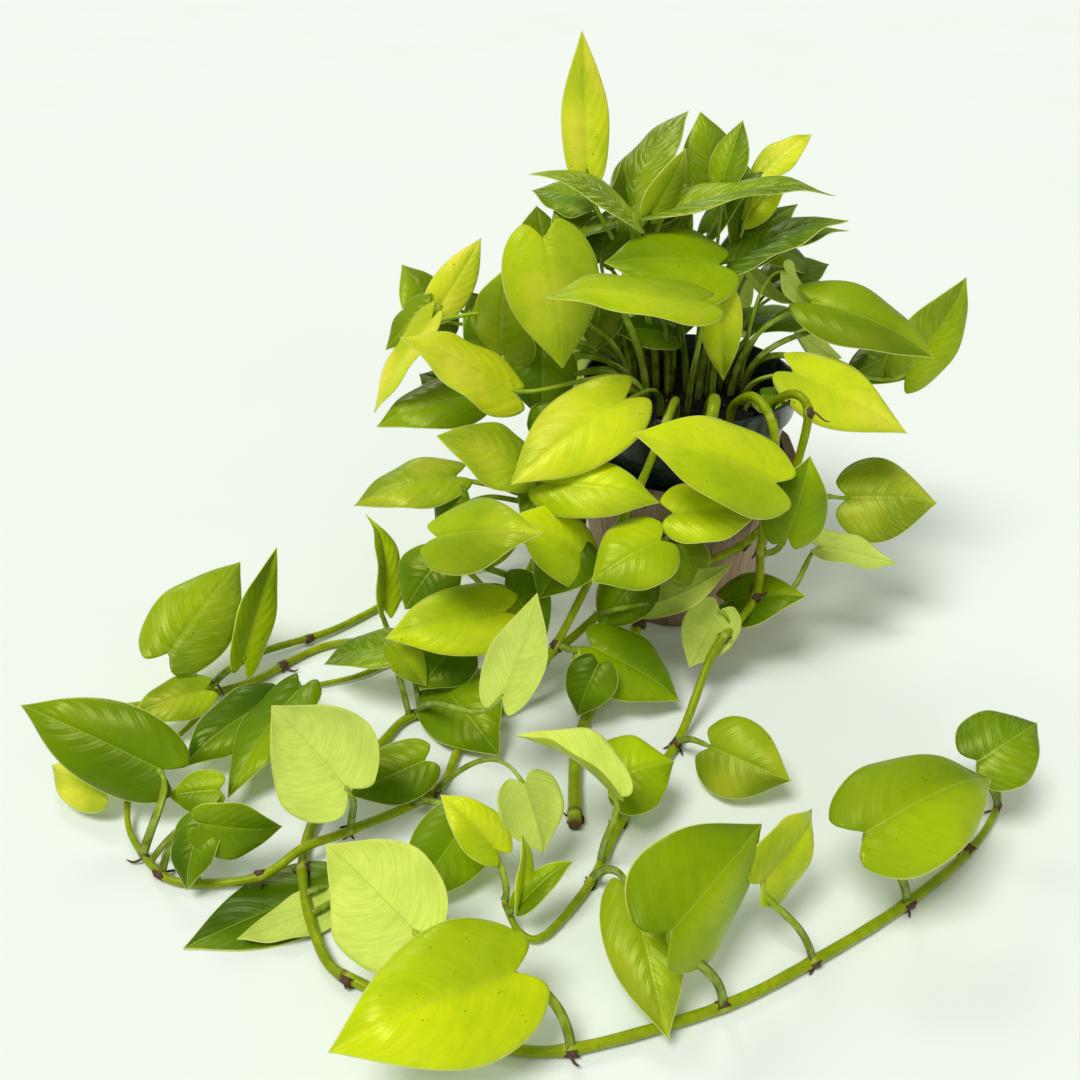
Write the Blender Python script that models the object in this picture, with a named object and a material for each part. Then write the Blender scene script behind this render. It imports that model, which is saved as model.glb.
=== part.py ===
"""Potted pothos: a staved wooden planter, a nursery pot, soil, trailing vines and leaves.

The origin is the centre of the planter's underside. +Z is up and -Y is the side that the long
vines trail to. The table rows and routes are in centimetres, and the solids are in metres.
"""
import math

import bmesh
import bpy
from mathutils import Vector

CM = 0.01
GAP = 0.03                      # clearance between solids that touch

# Planter: a tapered tub of staves
STAVES = 16
PLANTER_HEIGHT = 13.5
PLANTER_RIM_RADIUS = 8.9
PLANTER_FOOT_RADIUS = 6.6
STAVE_THICKNESS = 0.9
STAVE_GROOVE = 0.12             # depth and half width of the joint between two staves
STAVE_EDGE = 0.12               # rounding at the top edge
PLANTER_FLOOR_THICKNESS = 1.6

# Nursery pot
POT_RIM_HEIGHT = 19.6
POT_RIM_RADIUS = 8.3
POT_NECK_RADIUS = 7.75
POT_LIP_DEPTH = 2.2
POT_FOOT_RADIUS = 5.5
POT_FOOT_EDGE = 0.3             # slope between the pot's underside and its side
POT_WALL = 0.16
POT_LIP_EDGE = 0.1              # bevel along the edges of the folded lip
POT_LIP_WIDTH = 0.3
POT_SIDES = 32
DRAIN_HOLES = 6
DRAIN_RADIUS = 0.45
DRAIN_CIRCLE = 4.2

SOIL_HEIGHT = 17.4
SOIL_DISH = 0.25                # how far the soil's edge lies below its middle
SOIL_DOME = ((0.88, 0.4), (0.8, 0.0))   # its shoulders: share of the neck's radius, share of the dish

# Leaves turn their upper side to the light, and hang from round stalks
LIGHT = Vector((0.0, -0.6, 0.8))
LEAF_THICKNESS = 0.12
STALK_RADIUS = 0.16
STALK_KNEE = 0.12               # stalk radius where it meets the blade
STALK_RISE = 0.58               # how far a stalk keeps its first direction, as a share of its reach
STALK_APPROACH = 0.3            # the same for its last direction
STALK_WISH = 0.6                # how strongly a stalk on a vine starts upwards
ARRIVAL = (0.8, 0.3)            # a stalk arrives along the blade and along its own heading,
LIFT_FROM_BELOW = 0.7           # and from under the blade, by this much when it comes from below
LIFT_FROM_ABOVE = 0.1
TIP_RADIUS = 0.06
LOBE = 0.14                     # how far the heart-shaped lobes sweep back, as a share of length
BLADE_STATIONS = (0.0, 0.04, 0.13, 0.3, 0.5, 0.71, 0.88)
STALK_STATIONS = (0.0, 0.33, 0.67, 1.0)
ACROSS = (-1.0, -0.5, 0.0, 0.5, 1.0)

# Each vine: its radius, its number of sides, and the route of its centre from the soil to its end
VINES = {
    "vine_long": (0.3, 6, (
        (5.6, -4.4, 17.5), (5.7, -4.5, 19.4), (6.9, -6.0, 20.9), (7.8, -7.0, 20.0), (7.5, -7.4, 16.5),
        (6.7, -7.4, 13.0), (5.3, -7.5, 10.2), (3.2, -8.9, 9.2), (-0.2, -9.9, 8.1), (-4.0, -10.4, 6.1),
        (-7.1, -12.0, 5.4), (-10.0, -13.2, 3.3), (-14.8, -14.9, 0.4), (-21.0, -17.7, 0.35),
        (-23.2, -20.9, 0.35), (-26.3, -26.3, 0.4), (-26.8, -32.4, 0.4), (-24.3, -39.1, 0.5),
        (-21.4, -41.1, 0.35), (-17.8, -43.4, 0.35), (-14.4, -44.6, 0.35), (-10.1, -44.9, 0.35),
        (-1.8, -42.4, 0.35), (4.2, -39.3, 0.35), (10.8, -35.1, 0.35), (16.0, -30.9, 0.35),
        (19.0, -27.2, 0.5), (19.4, -25.2, 1.2))),
    "vine_front": (0.28, 6, (
        (-1.5, -4.8, 17.5), (-1.6, -5.1, 19.4), (-2.0, -7.4, 21.0), (-2.7, -9.0, 20.2),
        (-4.6, -10.5, 15.5), (-7.5, -12.2, 10.0), (-10.5, -15.2, 5.0), (-13.3, -17.0, 1.2),
        (-15.6, -18.6, 0.4), (-17.5, -21.4, 0.35), (-18.9, -25.6, 0.35), (-24.1, -29.9, 1.2),
        (-26.7, -31.6, 1.5), (-29.2, -33.2, 0.7), (-32.8, -33.5, 0.35), (-35.6, -32.8, 0.35),
        (-38.6, -29.4, 0.5), (-39.4, -26.6, 1.4))),
    "vine_right": (0.3, 6, (
        (2.6, -4.6, 17.5), (2.7, -4.9, 19.4), (3.7, -6.8, 21.1), (4.8, -8.3, 20.2), (5.3, -8.9, 18.0),
        (5.2, -9.1, 15.7), (5.0, -9.4, 13.7), (4.9, -10.2, 9.9), (4.8, -11.0, 6.4), (3.0, -13.0, 5.1),
        (1.1, -15.0, 3.8), (-1.9, -20.9, 0.4), (-6.2, -28.1, 0.35), (-8.4, -33.2, 0.35),
        (-11.4, -37.4, 0.35), (-13.0, -37.2, 0.5), (-13.9, -35.6, 1.6))),
    "vine_left": (0.27, 6, (
        (-5.6, 1.2, 17.5), (-5.7, 1.2, 19.4), (-7.2, 1.4, 20.9), (-8.9, 1.6, 20.4), (-10.0, 1.6, 18.0),
        (-11.2, 1.6, 12.0), (-12.5, 1.5, 6.0), (-15.0, 1.4, 1.5), (-18.0, 1.4, 0.35),
        (-20.5, 1.0, 0.35), (-23.6, -2.5, 0.35), (-28.5, -7.4, 0.4), (-33.9, -11.2, 0.9),
        (-36.3, -15.2, 1.3), (-37.0, -18.4, 0.6), (-38.7, -21.4, 0.35))),
    "vine_far_left": (0.27, 6, (
        (-4.6, -2.6, 17.5), (-4.75, -2.65, 19.4), (-6.4, -3.6, 20.9), (-8.0, -4.7, 20.4),
        (-9.1, -5.3, 18.0), (-10.6, -6.0, 12.0), (-12.5, -6.8, 6.0), (-15.5, -7.8, 1.4),
        (-18.5, -8.5, 0.35), (-21.4, -8.7, 0.3), (-28.6, -9.3, 0.3), (-33.7, -13.7, 0.3),
        (-37.2, -15.3, 0.3), (-42.5, -16.6, 0.3), (-46.2, -16.9, 0.5))),
    "vine_inner": (0.25, 6, (
        (-3.8, -3.7, 17.5), (-3.95, -3.85, 19.4), (-5.5, -5.3, 20.8), (-6.7, -6.5, 20.2),
        (-7.5, -7.4, 18.0), (-8.6, -9.4, 12.0), (-11.0, -10.4, 6.5), (-15.0, -11.0, 1.8),
        (-18.5, -11.1, 0.4), (-22.7, -11.3, 0.3), (-26.3, -13.4, 0.3), (-30.8, -14.8, 0.3))),
    "vine_cut": (0.42, 8, (
        (0.9, -5.2, 17.55), (0.9, -5.4, 19.4), (0.8, -7.6, 21.2), (0.4, -9.2, 20.2), (-0.4, -9.7, 15.0),
        (-1.3, -9.5, 12.0), (-2.4, -8.7, 8.3), (-3.4, -8.5, 4.0), (-4.3, -9.6, 1.3),
        (-5.5, -11.7, 0.5), (-7.6, -16.0, 0.5), (-9.1, -22.0, 0.5), (-9.4, -28.8, 0.5))),
}
VINE_STEP = 2.4                 # spacing of the rings along a vine

# Leaves, by stem. Crown leaves start at a point (x, y) on the soil; the others at a numbered point
# of their vine's route. Then: the blade's base, its tip, its width, its turn about the midrib away
# from the light, the height of its arch as a share of its length, and the fold of its halves.
LEAVES = {
    "crown": (
        ((-2.5, 1.5), (-8.2, 4.0, 34.5), (-8.5, 7.0, 43.5), 3.4, 10, -0.02, 12),
        ((-1.6, 0.9), (-5.0, 1.9, 31.2), (-12.5, 0.9, 35.0), 3.8, 30, 0.14, 10),
        ((-1.4, 2.6), (-5.0, 6.6, 29.8), (-0.2, 9.9, 37.2), 5.0, -30, 0.1, 12),
        ((0.8, 2.8), (2.0, 8.2, 31.4), (0.6, 10.6, 37.0), 4.6, 10, 0.04, 10),
        ((0.0, 1.4), (-2.6, 3.4, 31.3), (10.2, 3.2, 33.3), 4.0, -45, 0.05, 25),
        ((1.4, 0.9), (3.0, 3.0, 27.7), (11.6, 4.0, 30.9), 4.2, -30, 0.04, 12),
        ((0.7, 0.2), (1.6, 0.5, 28.4), (-7.0, -1.9, 29.2), 6.6, 8, 0.04, 8),
        ((-0.4, -2.6), (-0.6, -6.0, 28.1), (-11.2, -9.0, 30.4), 5.4, 25, -0.02, 12),
        ((-3.4, -0.6), (-11.4, -1.4, 30.9), (-9.7, -5.0, 22.5), 6.4, 0, 0.06, 5),
        ((1.6, -1.4), (1.7, -0.8, 26.4), (1.9, -3.2, 20.6), 3.0, 10, 0.04, 12),
        ((2.7, 1.8), (5.4, 6.0, 28.0), (10.8, 8.0, 24.9), 3.4, -15, 0.06, 10),
        ((3.4, 0.8), (9.2, 2.0, 24.8), (18.5, -1.0, 21.8), 5.4, -5, 0.05, 10),
        ((4.6, 1.8), (18.1, 3.8, 17.9), (22.7, 6.0, 25.2), 4.6, 20, 0.03, 10),
        ((4.0, -0.8), (7.6, -2.0, 20.8), (16.0, -5.0, 17.0), 5.8, -10, 0.05, 10),
        ((-2.4, -2.6), (-5.6, -7.4, 21.2), (-14.0, -12.0, 17.0), 5.8, 0, 0.04, 5),
        ((-3.6, -1.9), (-13.8, -4.2, 20.4), (-21.2, -6.4, 26.0), 5.4, 10, 0.02, 8),
        ((-4.0, -0.8), (-14.6, -0.1, 21.3), (-14.0, -2.5, 29.3), 5.2, -20, 0.04, 10),
        ((-4.4, -1.4), (-16.6, -1.4, 18.6), (-24.4, -3.2, 17.3), 4.6, 10, 0.06, 8),
        ((-3.2, 2.2), (-19.6, 1.4, 24.4), (-16.0, 3.6, 29.2), 3.0, 20, 0.02, 12),
    ),
    "vine_right": (
        (5, (5.0, -11.8, 16.8), (-5.1, -13.4, 22.2), 6.2, 0, 0.02, 12),
        (7, (6.6, -10.8, 11.6), (7.9, -9.8, 17.7), 4.4, 5, 0.02, 8),
        (8, (9.9, -8.0, 8.8), (16.0, -8.2, 7.2), 3.8, 150, -0.06, 10),
        (11, (0.1, -23.8, 2.8), (4.9, -26.8, 2.4), 5.2, 10, 0.06, 6),
        (12, (-7.0, -27.6, 3.5), (-2.8, -26.2, 3.9), 5.2, -10, 0.06, 10),
        (13, (-6.2, -38.9, 3.8), (-4.6, -44.8, 1.1), 4.8, 10, 0.04, 12),
    ),
    "vine_front": (
        (6, (-7.8, -15.0, 4.6), (-1.2, -17.2, 1.6), 5.2, -10, 0.06, 8),
        (10, (-12.7, -30.9, 6.4), (-11.4, -33.2, 2.8), 4.4, 160, -0.06, 20),
        (11, (-23.7, -30.5, 5.6), (-28.8, -26.0, 8.4), 6.8, 170, 0.03, 12),
        (15, (-32.7, -32.2, 4.3), (-28.0, -31.2, 2.7), 4.2, 30, 0.05, 35),
        (15.5, (-36.6, -27.2, 4.0), (-46.0, -24.4, 7.6), 5.4, -5, -0.02, 8),
    ),
    "vine_cut": (
        (4, (-2.2, -12.6, 14.8), (4.2, -12.2, 14.4), 4.8, -10, 0.06, 8),
        (5.4, (-3.2, -14.2, 13.5), (-8.2, -16.2, 11.5), 5.2, 5, 0.05, 6),
    ),
    "vine_inner": (
        (4, (-12.6, -8.6, 16.3), (-19.0, -9.6, 19.6), 5.0, 10, 0.04, 8),
        (6, (-19.0, -14.2, 13.8), (-11.8, -17.4, 16.2), 5.4, -5, 0.06, 6),
        (5, (-8.3, -12.5, 10.8), (-13.7, -14.0, 15.6), 5.2, 5, 0.05, 5),
        (7, (-14.2, -15.2, 8.0), (-22.6, -17.8, 7.8), 5.6, 10, 0.05, 8),
        (11, (-29.0, -19.2, 4.0), (-32.6, -27.0, 1.2), 4.4, 20, 0.04, 10),
    ),
    "vine_far_left": (
        (5, (-18.2, -6.0, 14.0), (-25.8, -8.0, 12.6), 4.4, 15, 0.06, 8),
        (12, (-38.7, -16.4, 5.2), (-35.0, -8.8, 8.2), 5.8, 10, 0.02, 6),
    ),
    "vine_left": (
        (13, (-33.8, -14.8, 3.2), (-31.6, -8.4, 9.0), 3.4, 50, -0.05, 25),
    ),
    "vine_long": (
        (10, (-3.6, -12.6, 6.6), (2.4, -12.6, 10.4), 3.4, 150, 0.04, 12),
        (13, (-14.2, -24.2, 7.6), (-11.8, -19.4, 12.6), 4.0, 165, 0.03, 12),
        (19, (-18.5, -41.0, 5.2), (-23.9, -36.0, 6.5), 6.4, 170, 0.02, 8),
        (21, (-13.0, -43.4, 5.0), (-22.2, -48.2, 5.8), 6.8, 10, 0.06, 5),
        (22.4, (-4.6, -41.0, 7.2), (1.6, -34.0, 7.6), 5.2, 5, 0.04, 10),
        (23, (1.0, -37.4, 5.0), (4.9, -32.2, 5.5), 3.4, 60, 0.04, 10),
        (24, (7.4, -35.2, 6.8), (16.2, -30.4, 7.2), 6.6, -10, 0.08, 6),
        (26, (16.8, -27.4, 5.0), (21.2, -25.4, 6.4), 5.0, -10, 0.06, 5),
        (5, (12.7, -4.0, 10.9), (19.4, -5.0, 11.3), 6.4, 5, 0.03, 6),
    ),
}


def remove_everything():
    for item in list(bpy.data.objects):
        bpy.data.objects.remove(item, do_unlink=True)


def make_material(name, color, roughness):
    material = bpy.data.materials.new(name)
    material.use_nodes = True
    shader = material.node_tree.nodes["Principled BSDF"]
    shader.inputs["Base Color"].default_value = (*color, 1.0)
    shader.inputs["Roughness"].default_value = roughness
    material.diffuse_color = (*color, 1.0)
    return material


def add_object(name, mesh, material):
    mesh.materials.append(material)
    item = bpy.data.objects.new(name, mesh)
    bpy.context.scene.collection.objects.link(item)
    return item


def mesh_from(name, points, faces, smooth=True):
    """A closed mesh from points in centimetres, with its faces turned outwards."""
    mesh = bpy.data.meshes.new(name)
    mesh.from_pydata([Vector(point) * CM for point in points], [], faces)
    shell = bmesh.new()
    shell.from_mesh(mesh)
    bmesh.ops.recalc_face_normals(shell, faces=shell.faces)
    shell.to_mesh(mesh)
    shell.free()
    if smooth:
        mesh.shade_smooth()
        mesh.set_sharp_from_angle(angle=math.radians(40))
    return mesh


def rings_mesh(name, rings, closed=False):
    """A skin over rings of equally many points: capped at both ends, or closed on itself."""
    count = len(rings[0])
    points = [point for ring in rings for point in ring]
    faces = []
    spans = len(rings) if closed else len(rings) - 1
    for row in range(spans):
        here, there = row * count, (row + 1) % len(rings) * count
        for side in range(count):
            after = (side + 1) % count
            faces.append((here + side, here + after, there + after, there + side))
    if not closed:
        faces.append(tuple(reversed(range(count))))
        faces.append(tuple(range(len(points) - count, len(points))))
    return mesh_from(name, points, faces)


def circle(radius, height, sides):
    turns = (2 * math.pi * side / sides for side in range(sides))
    return [(radius * math.cos(turn), radius * math.sin(turn), height) for turn in turns]


# ---------------------------------------------------------------- planter

def planter_radius(height):
    share = height / PLANTER_HEIGHT
    return PLANTER_FOOT_RADIUS + (PLANTER_RIM_RADIUS - PLANTER_FOOT_RADIUS) * share


def stave_ring(radius, height, groove):
    """One level of the tub's outside: flat staves that meet in shallow V-shaped joints."""
    ring = []
    half = math.pi / STAVES
    edge = half - groove / radius
    for stave in range(STAVES):
        middle = 2 * half * stave
        for turn, reach in ((-half, radius - groove), (-edge, radius), (0.0, radius), (edge, radius)):
            ring.append((reach * math.cos(middle + turn), reach * math.sin(middle + turn), height))
    return ring


def inner_ring(radius, height):
    """A round ring whose points stand opposite those of stave_ring."""
    return [(radius * x / math.hypot(x, y), radius * y / math.hypot(x, y), height)
            for x, y, _ in stave_ring(radius, height, STAVE_GROOVE)]


def planter_wall(material):
    top = PLANTER_HEIGHT
    low, high = planter_radius(0), planter_radius(top)
    rings = [
        stave_ring(low, 0.0, STAVE_GROOVE),
        stave_ring(planter_radius(top - STAVE_EDGE), top - STAVE_EDGE, STAVE_GROOVE),
        stave_ring(high - STAVE_EDGE, top, STAVE_GROOVE * 0.5),
        inner_ring(high - STAVE_THICKNESS, top),
        inner_ring(low - STAVE_THICKNESS, 0.0),
    ]
    return add_object("planter_wall", rings_mesh("planter_wall", rings, closed=True), material)


def planter_floor(material):
    inner = planter_radius(0) - STAVE_THICKNESS - GAP * 2
    rise = (planter_radius(PLANTER_FLOOR_THICKNESS) - planter_radius(0))
    rings = [circle(inner, 0.0, POT_SIDES), circle(inner + rise, PLANTER_FLOOR_THICKNESS, POT_SIDES)]
    return add_object("planter_floor", rings_mesh("planter_floor", rings), material)


# ---------------------------------------------------------------- pot and soil

POT_BASE_HEIGHT = PLANTER_FLOOR_THICKNESS + GAP
POT_NECK_HEIGHT = POT_RIM_HEIGHT - POT_LIP_DEPTH


def pot_radius(height):
    """The outside of the pot's tapered body."""
    share = (height - POT_BASE_HEIGHT) / (POT_NECK_HEIGHT - POT_BASE_HEIGHT)
    return POT_FOOT_RADIUS + (POT_NECK_RADIUS - POT_FOOT_RADIUS) * share


def nursery_pot(material, cutter_material):
    """A thin open pot with a folded lip and drain holes."""
    profile = (
        (POT_FOOT_RADIUS - POT_FOOT_EDGE, POT_BASE_HEIGHT),
        (POT_FOOT_RADIUS, POT_BASE_HEIGHT + POT_FOOT_EDGE),
        (POT_NECK_RADIUS, POT_NECK_HEIGHT),
        (POT_RIM_RADIUS - POT_LIP_EDGE, POT_NECK_HEIGHT + POT_LIP_EDGE),
        (POT_RIM_RADIUS, POT_RIM_HEIGHT - POT_LIP_EDGE),
        (POT_RIM_RADIUS - POT_LIP_EDGE, POT_RIM_HEIGHT),
        (POT_RIM_RADIUS - POT_LIP_WIDTH, POT_RIM_HEIGHT - POT_LIP_EDGE),
        (POT_NECK_RADIUS - POT_WALL, POT_NECK_HEIGHT - POT_LIP_EDGE),
        (POT_FOOT_RADIUS - POT_WALL, POT_BASE_HEIGHT + POT_FOOT_EDGE + POT_WALL),
        (POT_FOOT_RADIUS - POT_FOOT_EDGE - POT_WALL, POT_BASE_HEIGHT + POT_WALL),
    )
    rings = [circle(radius, height, POT_SIDES) for radius, height in profile]
    pot = add_object("nursery_pot", rings_mesh("nursery_pot", rings), material)
    for hole in range(DRAIN_HOLES):
        turn = 2 * math.pi * hole / DRAIN_HOLES
        bpy.ops.mesh.primitive_cylinder_add(
            vertices=12, radius=DRAIN_RADIUS * CM, depth=1.2 * CM,
            location=(DRAIN_CIRCLE * CM * math.cos(turn), DRAIN_CIRCLE * CM * math.sin(turn),
                      POT_BASE_HEIGHT * CM))
        cutter = bpy.context.object
        cutter.name = f"drain_cutter_{hole + 1}"
        cutter.hide_render = True
        cutter.display_type = "WIRE"
        cutter.data.materials.append(cutter_material)
        cut = pot.modifiers.new(cutter.name, "BOOLEAN")
        cut.operation = "DIFFERENCE"
        cut.solver = "EXACT"
        cut.object = cutter
    return pot


def soil(material):
    low = POT_BASE_HEIGHT + POT_WALL + GAP
    clear = POT_WALL + GAP * 2
    edge = SOIL_HEIGHT - SOIL_DISH
    profile = (
        (POT_FOOT_RADIUS - POT_FOOT_EDGE - clear, low),
        (POT_FOOT_RADIUS - clear, low + POT_FOOT_EDGE),
        (pot_radius(edge) - clear, edge),
        *((POT_NECK_RADIUS * reach, SOIL_HEIGHT - SOIL_DISH * drop) for reach, drop in SOIL_DOME),
    )
    rings = [circle(radius, height, POT_SIDES) for radius, height in profile]
    return add_object("soil", rings_mesh("soil", rings), material)


# ---------------------------------------------------------------- vines

def curve_point(route, place):
    """A point on the smooth curve through the route, at a place counted in route points."""
    last = len(route) - 1
    index = min(int(place), last - 1)
    share = place - index
    before, start, end, after = (Vector(route[max(0, min(last, index + step))]) for step in (-1, 0, 1, 2))
    return 0.5 * (2 * start + (end - before) * share
                  + (2 * before - 5 * start + 4 * end - after) * share ** 2
                  + (3 * start - before - 3 * end + after) * share ** 3)


def curve_direction(route, place):
    step = 0.02
    last = len(route) - 1
    ahead = curve_point(route, min(last, place + step))
    return (ahead - curve_point(route, max(0, place - step))).normalized()


def vine_places(route):
    """Places along the route about VINE_STEP apart, with every route point among them."""
    places = []
    for index in range(len(route) - 1):
        length = (Vector(route[index + 1]) - Vector(route[index])).length
        steps = max(1, round(length / VINE_STEP))
        places += [index + step / steps for step in range(steps)]
    return places + [len(route) - 1]


def carried_frame(direction, guide):
    """Two directions across a stalk, the second as close to the guide as it can be."""
    second = (guide - direction * guide.dot(direction)).normalized()
    return second.cross(direction), second


def round_ring(centre, first, second, radius, sides):
    """Points run from -first over +second to +first and back underneath."""
    turns = (math.pi - 2 * math.pi * side / sides for side in range(sides))
    return [centre + first * radius * math.cos(turn) + second * radius * math.sin(turn) for turn in turns]


def vine(name, radius, sides, route, material):
    guide = Vector((1.0, 0.2, 0.0))
    rings = []
    for place in vine_places(route):
        direction = curve_direction(route, place)
        first, guide = carried_frame(direction, guide)
        centre = curve_point(route, place)
        centre.z = max(centre.z, radius)
        rings.append(round_ring(centre, first, guide, radius, sides))
    return add_object(name, rings_mesh(name, rings), material)


# ---------------------------------------------------------------- leaves

def half_width(share):
    """Half the blade's width as a share of its greatest half width."""
    return 2.15 * (share + 0.02) ** 0.42 * (1 - share) ** 0.87


def lobe_sweep(share, place):
    """How far a point across the blade lies behind the midrib's, as a share of the blade's length."""
    return LOBE * (1 - share) ** 4 * abs(place) * (1.6 - 0.6 * abs(place))


def blade_rings(base, tip, width, turn, arch, fold):
    """Rings of a heart-shaped blade, and its directions: along the midrib and up."""
    along = (tip - base).normalized()
    length = (tip - base).length
    up = (LIGHT - along * LIGHT.dot(along)).normalized()
    side = along.cross(up)
    angle = math.radians(turn)
    up, side = up * math.cos(angle) + side * math.sin(angle), side * math.cos(angle) - up * math.sin(angle)
    tilt = math.radians(fold)
    rings = []
    for share in BLADE_STATIONS:
        centre = base + along * length * share + up * arch * length * 4 * share * (1 - share)
        slope = arch * 4 * (1 - 2 * share)
        forward = (along + up * slope).normalized()
        normal = (up - along * slope).normalized()
        half = width / 2 * half_width(share)
        top = [centre + side * (half * place * math.cos(tilt)) + normal * (half * abs(place) * math.sin(tilt))
               - forward * length * lobe_sweep(share, place) for place in ACROSS]
        under = [point - normal * LEAF_THICKNESS for point in reversed(top[1:-1])]
        rings.append(top + under)
    rings.append(round_ring(tip - normal * LEAF_THICKNESS * 0.5, side, normal, TIP_RADIUS, len(rings[0])))
    return rings, along, up


def stalk_curve(start, rise, neck, arrival, share):
    """The stalk leaves its stem along rise, and reaches its neck, just under the blade, along arrival."""
    reach = (neck - start).length
    first = start + rise * reach * STALK_RISE
    second = neck - arrival * reach * STALK_APPROACH
    left = 1 - share
    return (start * left ** 3 + first * 3 * left ** 2 * share
            + second * 3 * left * share ** 2 + neck * share ** 3)


def leaf(name, start, rise, row, material):
    base, tip, width, turn, arch, fold = row
    base, tip = Vector(base), Vector(tip)
    blade, along, up = blade_rings(base, tip, width, turn, arch, fold)
    heading = (base - start).normalized()
    lift = LIFT_FROM_BELOW if heading.dot(up) > 0 else LIFT_FROM_ABOVE
    arrival = (along * ARRIVAL[0] + up * lift + heading * ARRIVAL[1]).normalized()
    neck = base - arrival * LOBE * (tip - base).length
    stalk = []
    guide = up
    for share in reversed(STALK_STATIONS):
        centre = stalk_curve(start, rise, neck, arrival, share)
        ahead = stalk_curve(start, rise, neck, arrival, min(1.0, share + 0.02))
        behind = stalk_curve(start, rise, neck, arrival, max(0.0, share - 0.02))
        direction = (ahead - behind).normalized()
        first, guide = carried_frame(direction, guide)
        radius = STALK_KNEE + (STALK_RADIUS - STALK_KNEE) * (1 - share)
        stalk.append(round_ring(centre - up * LEAF_THICKNESS * 0.5, -first, guide, radius, len(blade[0])))
    return add_object(name, rings_mesh(name, list(reversed(stalk)) + blade), material)


def stalk_start(stem, origin, base):
    """Where a leaf's stalk leaves the soil or its vine, and in which direction."""
    if stem == "crown":
        start = Vector((*origin, SOIL_HEIGHT + GAP * 5))
        return start, Vector((0, 0, 1))
    radius, _, route = VINES[stem]
    centre = curve_point(route, origin)
    direction = curve_direction(route, origin)
    wish = (Vector(base) - centre).normalized() + Vector((0, 0, STALK_WISH))
    rise = (wish - direction * wish.dot(direction)).normalized()
    return centre + rise * (radius + GAP * 3), rise


def main():
    remove_everything()
    wood = make_material("planter_wood", (0.42, 0.27, 0.17), 0.6)
    plastic = make_material("pot_plastic", (0.012, 0.03, 0.022), 0.3)
    earth = make_material("soil", (0.02, 0.013, 0.009), 0.95)
    stem_green = make_material("vine_green", (0.16, 0.36, 0.02), 0.4)
    leaf_green = make_material("leaf_green", (0.32, 0.55, 0.02), 0.35)
    planter_wall(wood)
    planter_floor(wood)
    nursery_pot(plastic, plastic)
    soil(earth)
    for name, (radius, sides, route) in VINES.items():
        vine(name, radius, sides, route, stem_green)
    for stem, rows in LEAVES.items():
        for number, (origin, *row) in enumerate(rows, start=1):
            start, rise = stalk_start(stem, origin, row[0])
            leaf(f"{stem}_leaf_{number:02d}", start, rise, row, leaf_green)


main()
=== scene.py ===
"""Looks of the potted pothos: fine leaves, stems, staves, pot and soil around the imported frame.

Everything stands in the frame's axes. The routes and leaf rows are in centimetres, as in the part's
own script, and the meshes are in metres. -Y is the side that the long vines trail to.
"""

import math

import bpy
import numpy as np
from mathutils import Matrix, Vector


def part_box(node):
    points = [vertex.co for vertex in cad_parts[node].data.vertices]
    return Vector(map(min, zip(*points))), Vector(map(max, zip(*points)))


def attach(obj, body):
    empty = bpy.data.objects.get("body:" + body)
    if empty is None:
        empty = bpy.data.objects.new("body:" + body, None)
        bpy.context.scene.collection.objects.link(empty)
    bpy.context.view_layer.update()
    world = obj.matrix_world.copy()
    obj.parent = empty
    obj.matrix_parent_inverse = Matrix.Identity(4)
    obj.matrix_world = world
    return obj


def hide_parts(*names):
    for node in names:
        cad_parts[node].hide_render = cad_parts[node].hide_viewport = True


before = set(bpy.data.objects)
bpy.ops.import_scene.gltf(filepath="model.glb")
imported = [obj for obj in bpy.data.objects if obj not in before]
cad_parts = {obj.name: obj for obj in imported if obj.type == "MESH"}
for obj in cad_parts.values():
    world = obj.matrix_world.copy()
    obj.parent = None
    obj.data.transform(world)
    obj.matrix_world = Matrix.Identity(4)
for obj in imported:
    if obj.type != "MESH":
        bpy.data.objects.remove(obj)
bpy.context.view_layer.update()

CM = 0.01
SEED = 11
random = np.random.default_rng(SEED)

# ---------------------------------------------------------------- sizes taken from the frame

PLANTER_HIGH, POT_HIGH, SOIL_HIGH = (np.array(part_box(node)[1]) / CM
                                     for node in ("planter_wall", "nursery_pot", "soil"))
PLANTER_HEIGHT = PLANTER_HIGH[2]
PLANTER_RIM_RADIUS = PLANTER_HIGH[0]
POT_RIM_RADIUS = POT_HIGH[0]
POT_RIM_HEIGHT = POT_HIGH[2]
POT_FLOOR_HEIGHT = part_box("nursery_pot")[0][2] / CM
SOIL_HEIGHT = SOIL_HIGH[2]

STAVES = 16
PLANTER_FOOT_RADIUS = 6.6
STAVE_THICKNESS = 0.9
POT_NECK_RADIUS = 7.75
POT_FOOT_RADIUS = 5.5
POT_LIP_DEPTH = 2.2
POT_WALL = 0.16
DRAIN_RADIUS = 0.6
SOIL_EDGE = 0.3                 # the soil's rim lies this far inside the pot's neck
STAVE_JOINT = 0.035
STAVE_BEVEL = 0.13
CRUMBS = 1500

# ---------------------------------------------------------------- colours, as linear albedo

# Leaf green from deep shade-green to bright lime, by tone 0 to 1
TONES = np.array([(.030, .080, .0005), (.072, .150, .0005), (.140, .245, .0005),
                  (.240, .370, .0005), (.385, .530, .001), (.620, .760, .002)])
YELLOW = np.array((.84, .79, .06))
PALE_UNDERSIDE = (.74, .86, .17, 1)
MARGIN = (.72, .78, .20, 1)
STEM_GREEN = (.24, .325, .002, 1)
STEM_PALE = (.46, .55, .07, 1)
STALK_GREEN = (.20, .32, .01, 1)
DRY_BROWN = (.050, .022, .010, 1)
GLOSS_TINT = (1.0, 1.0, .30, 1)         # the plant's shine is as yellow as its green
STAVE_TONES = np.array(((.40, .265, .185), (.46, .31, .215), (.36, .235, .165), (.52, .38, .25),
                        (.42, .29, .21)))
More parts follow.
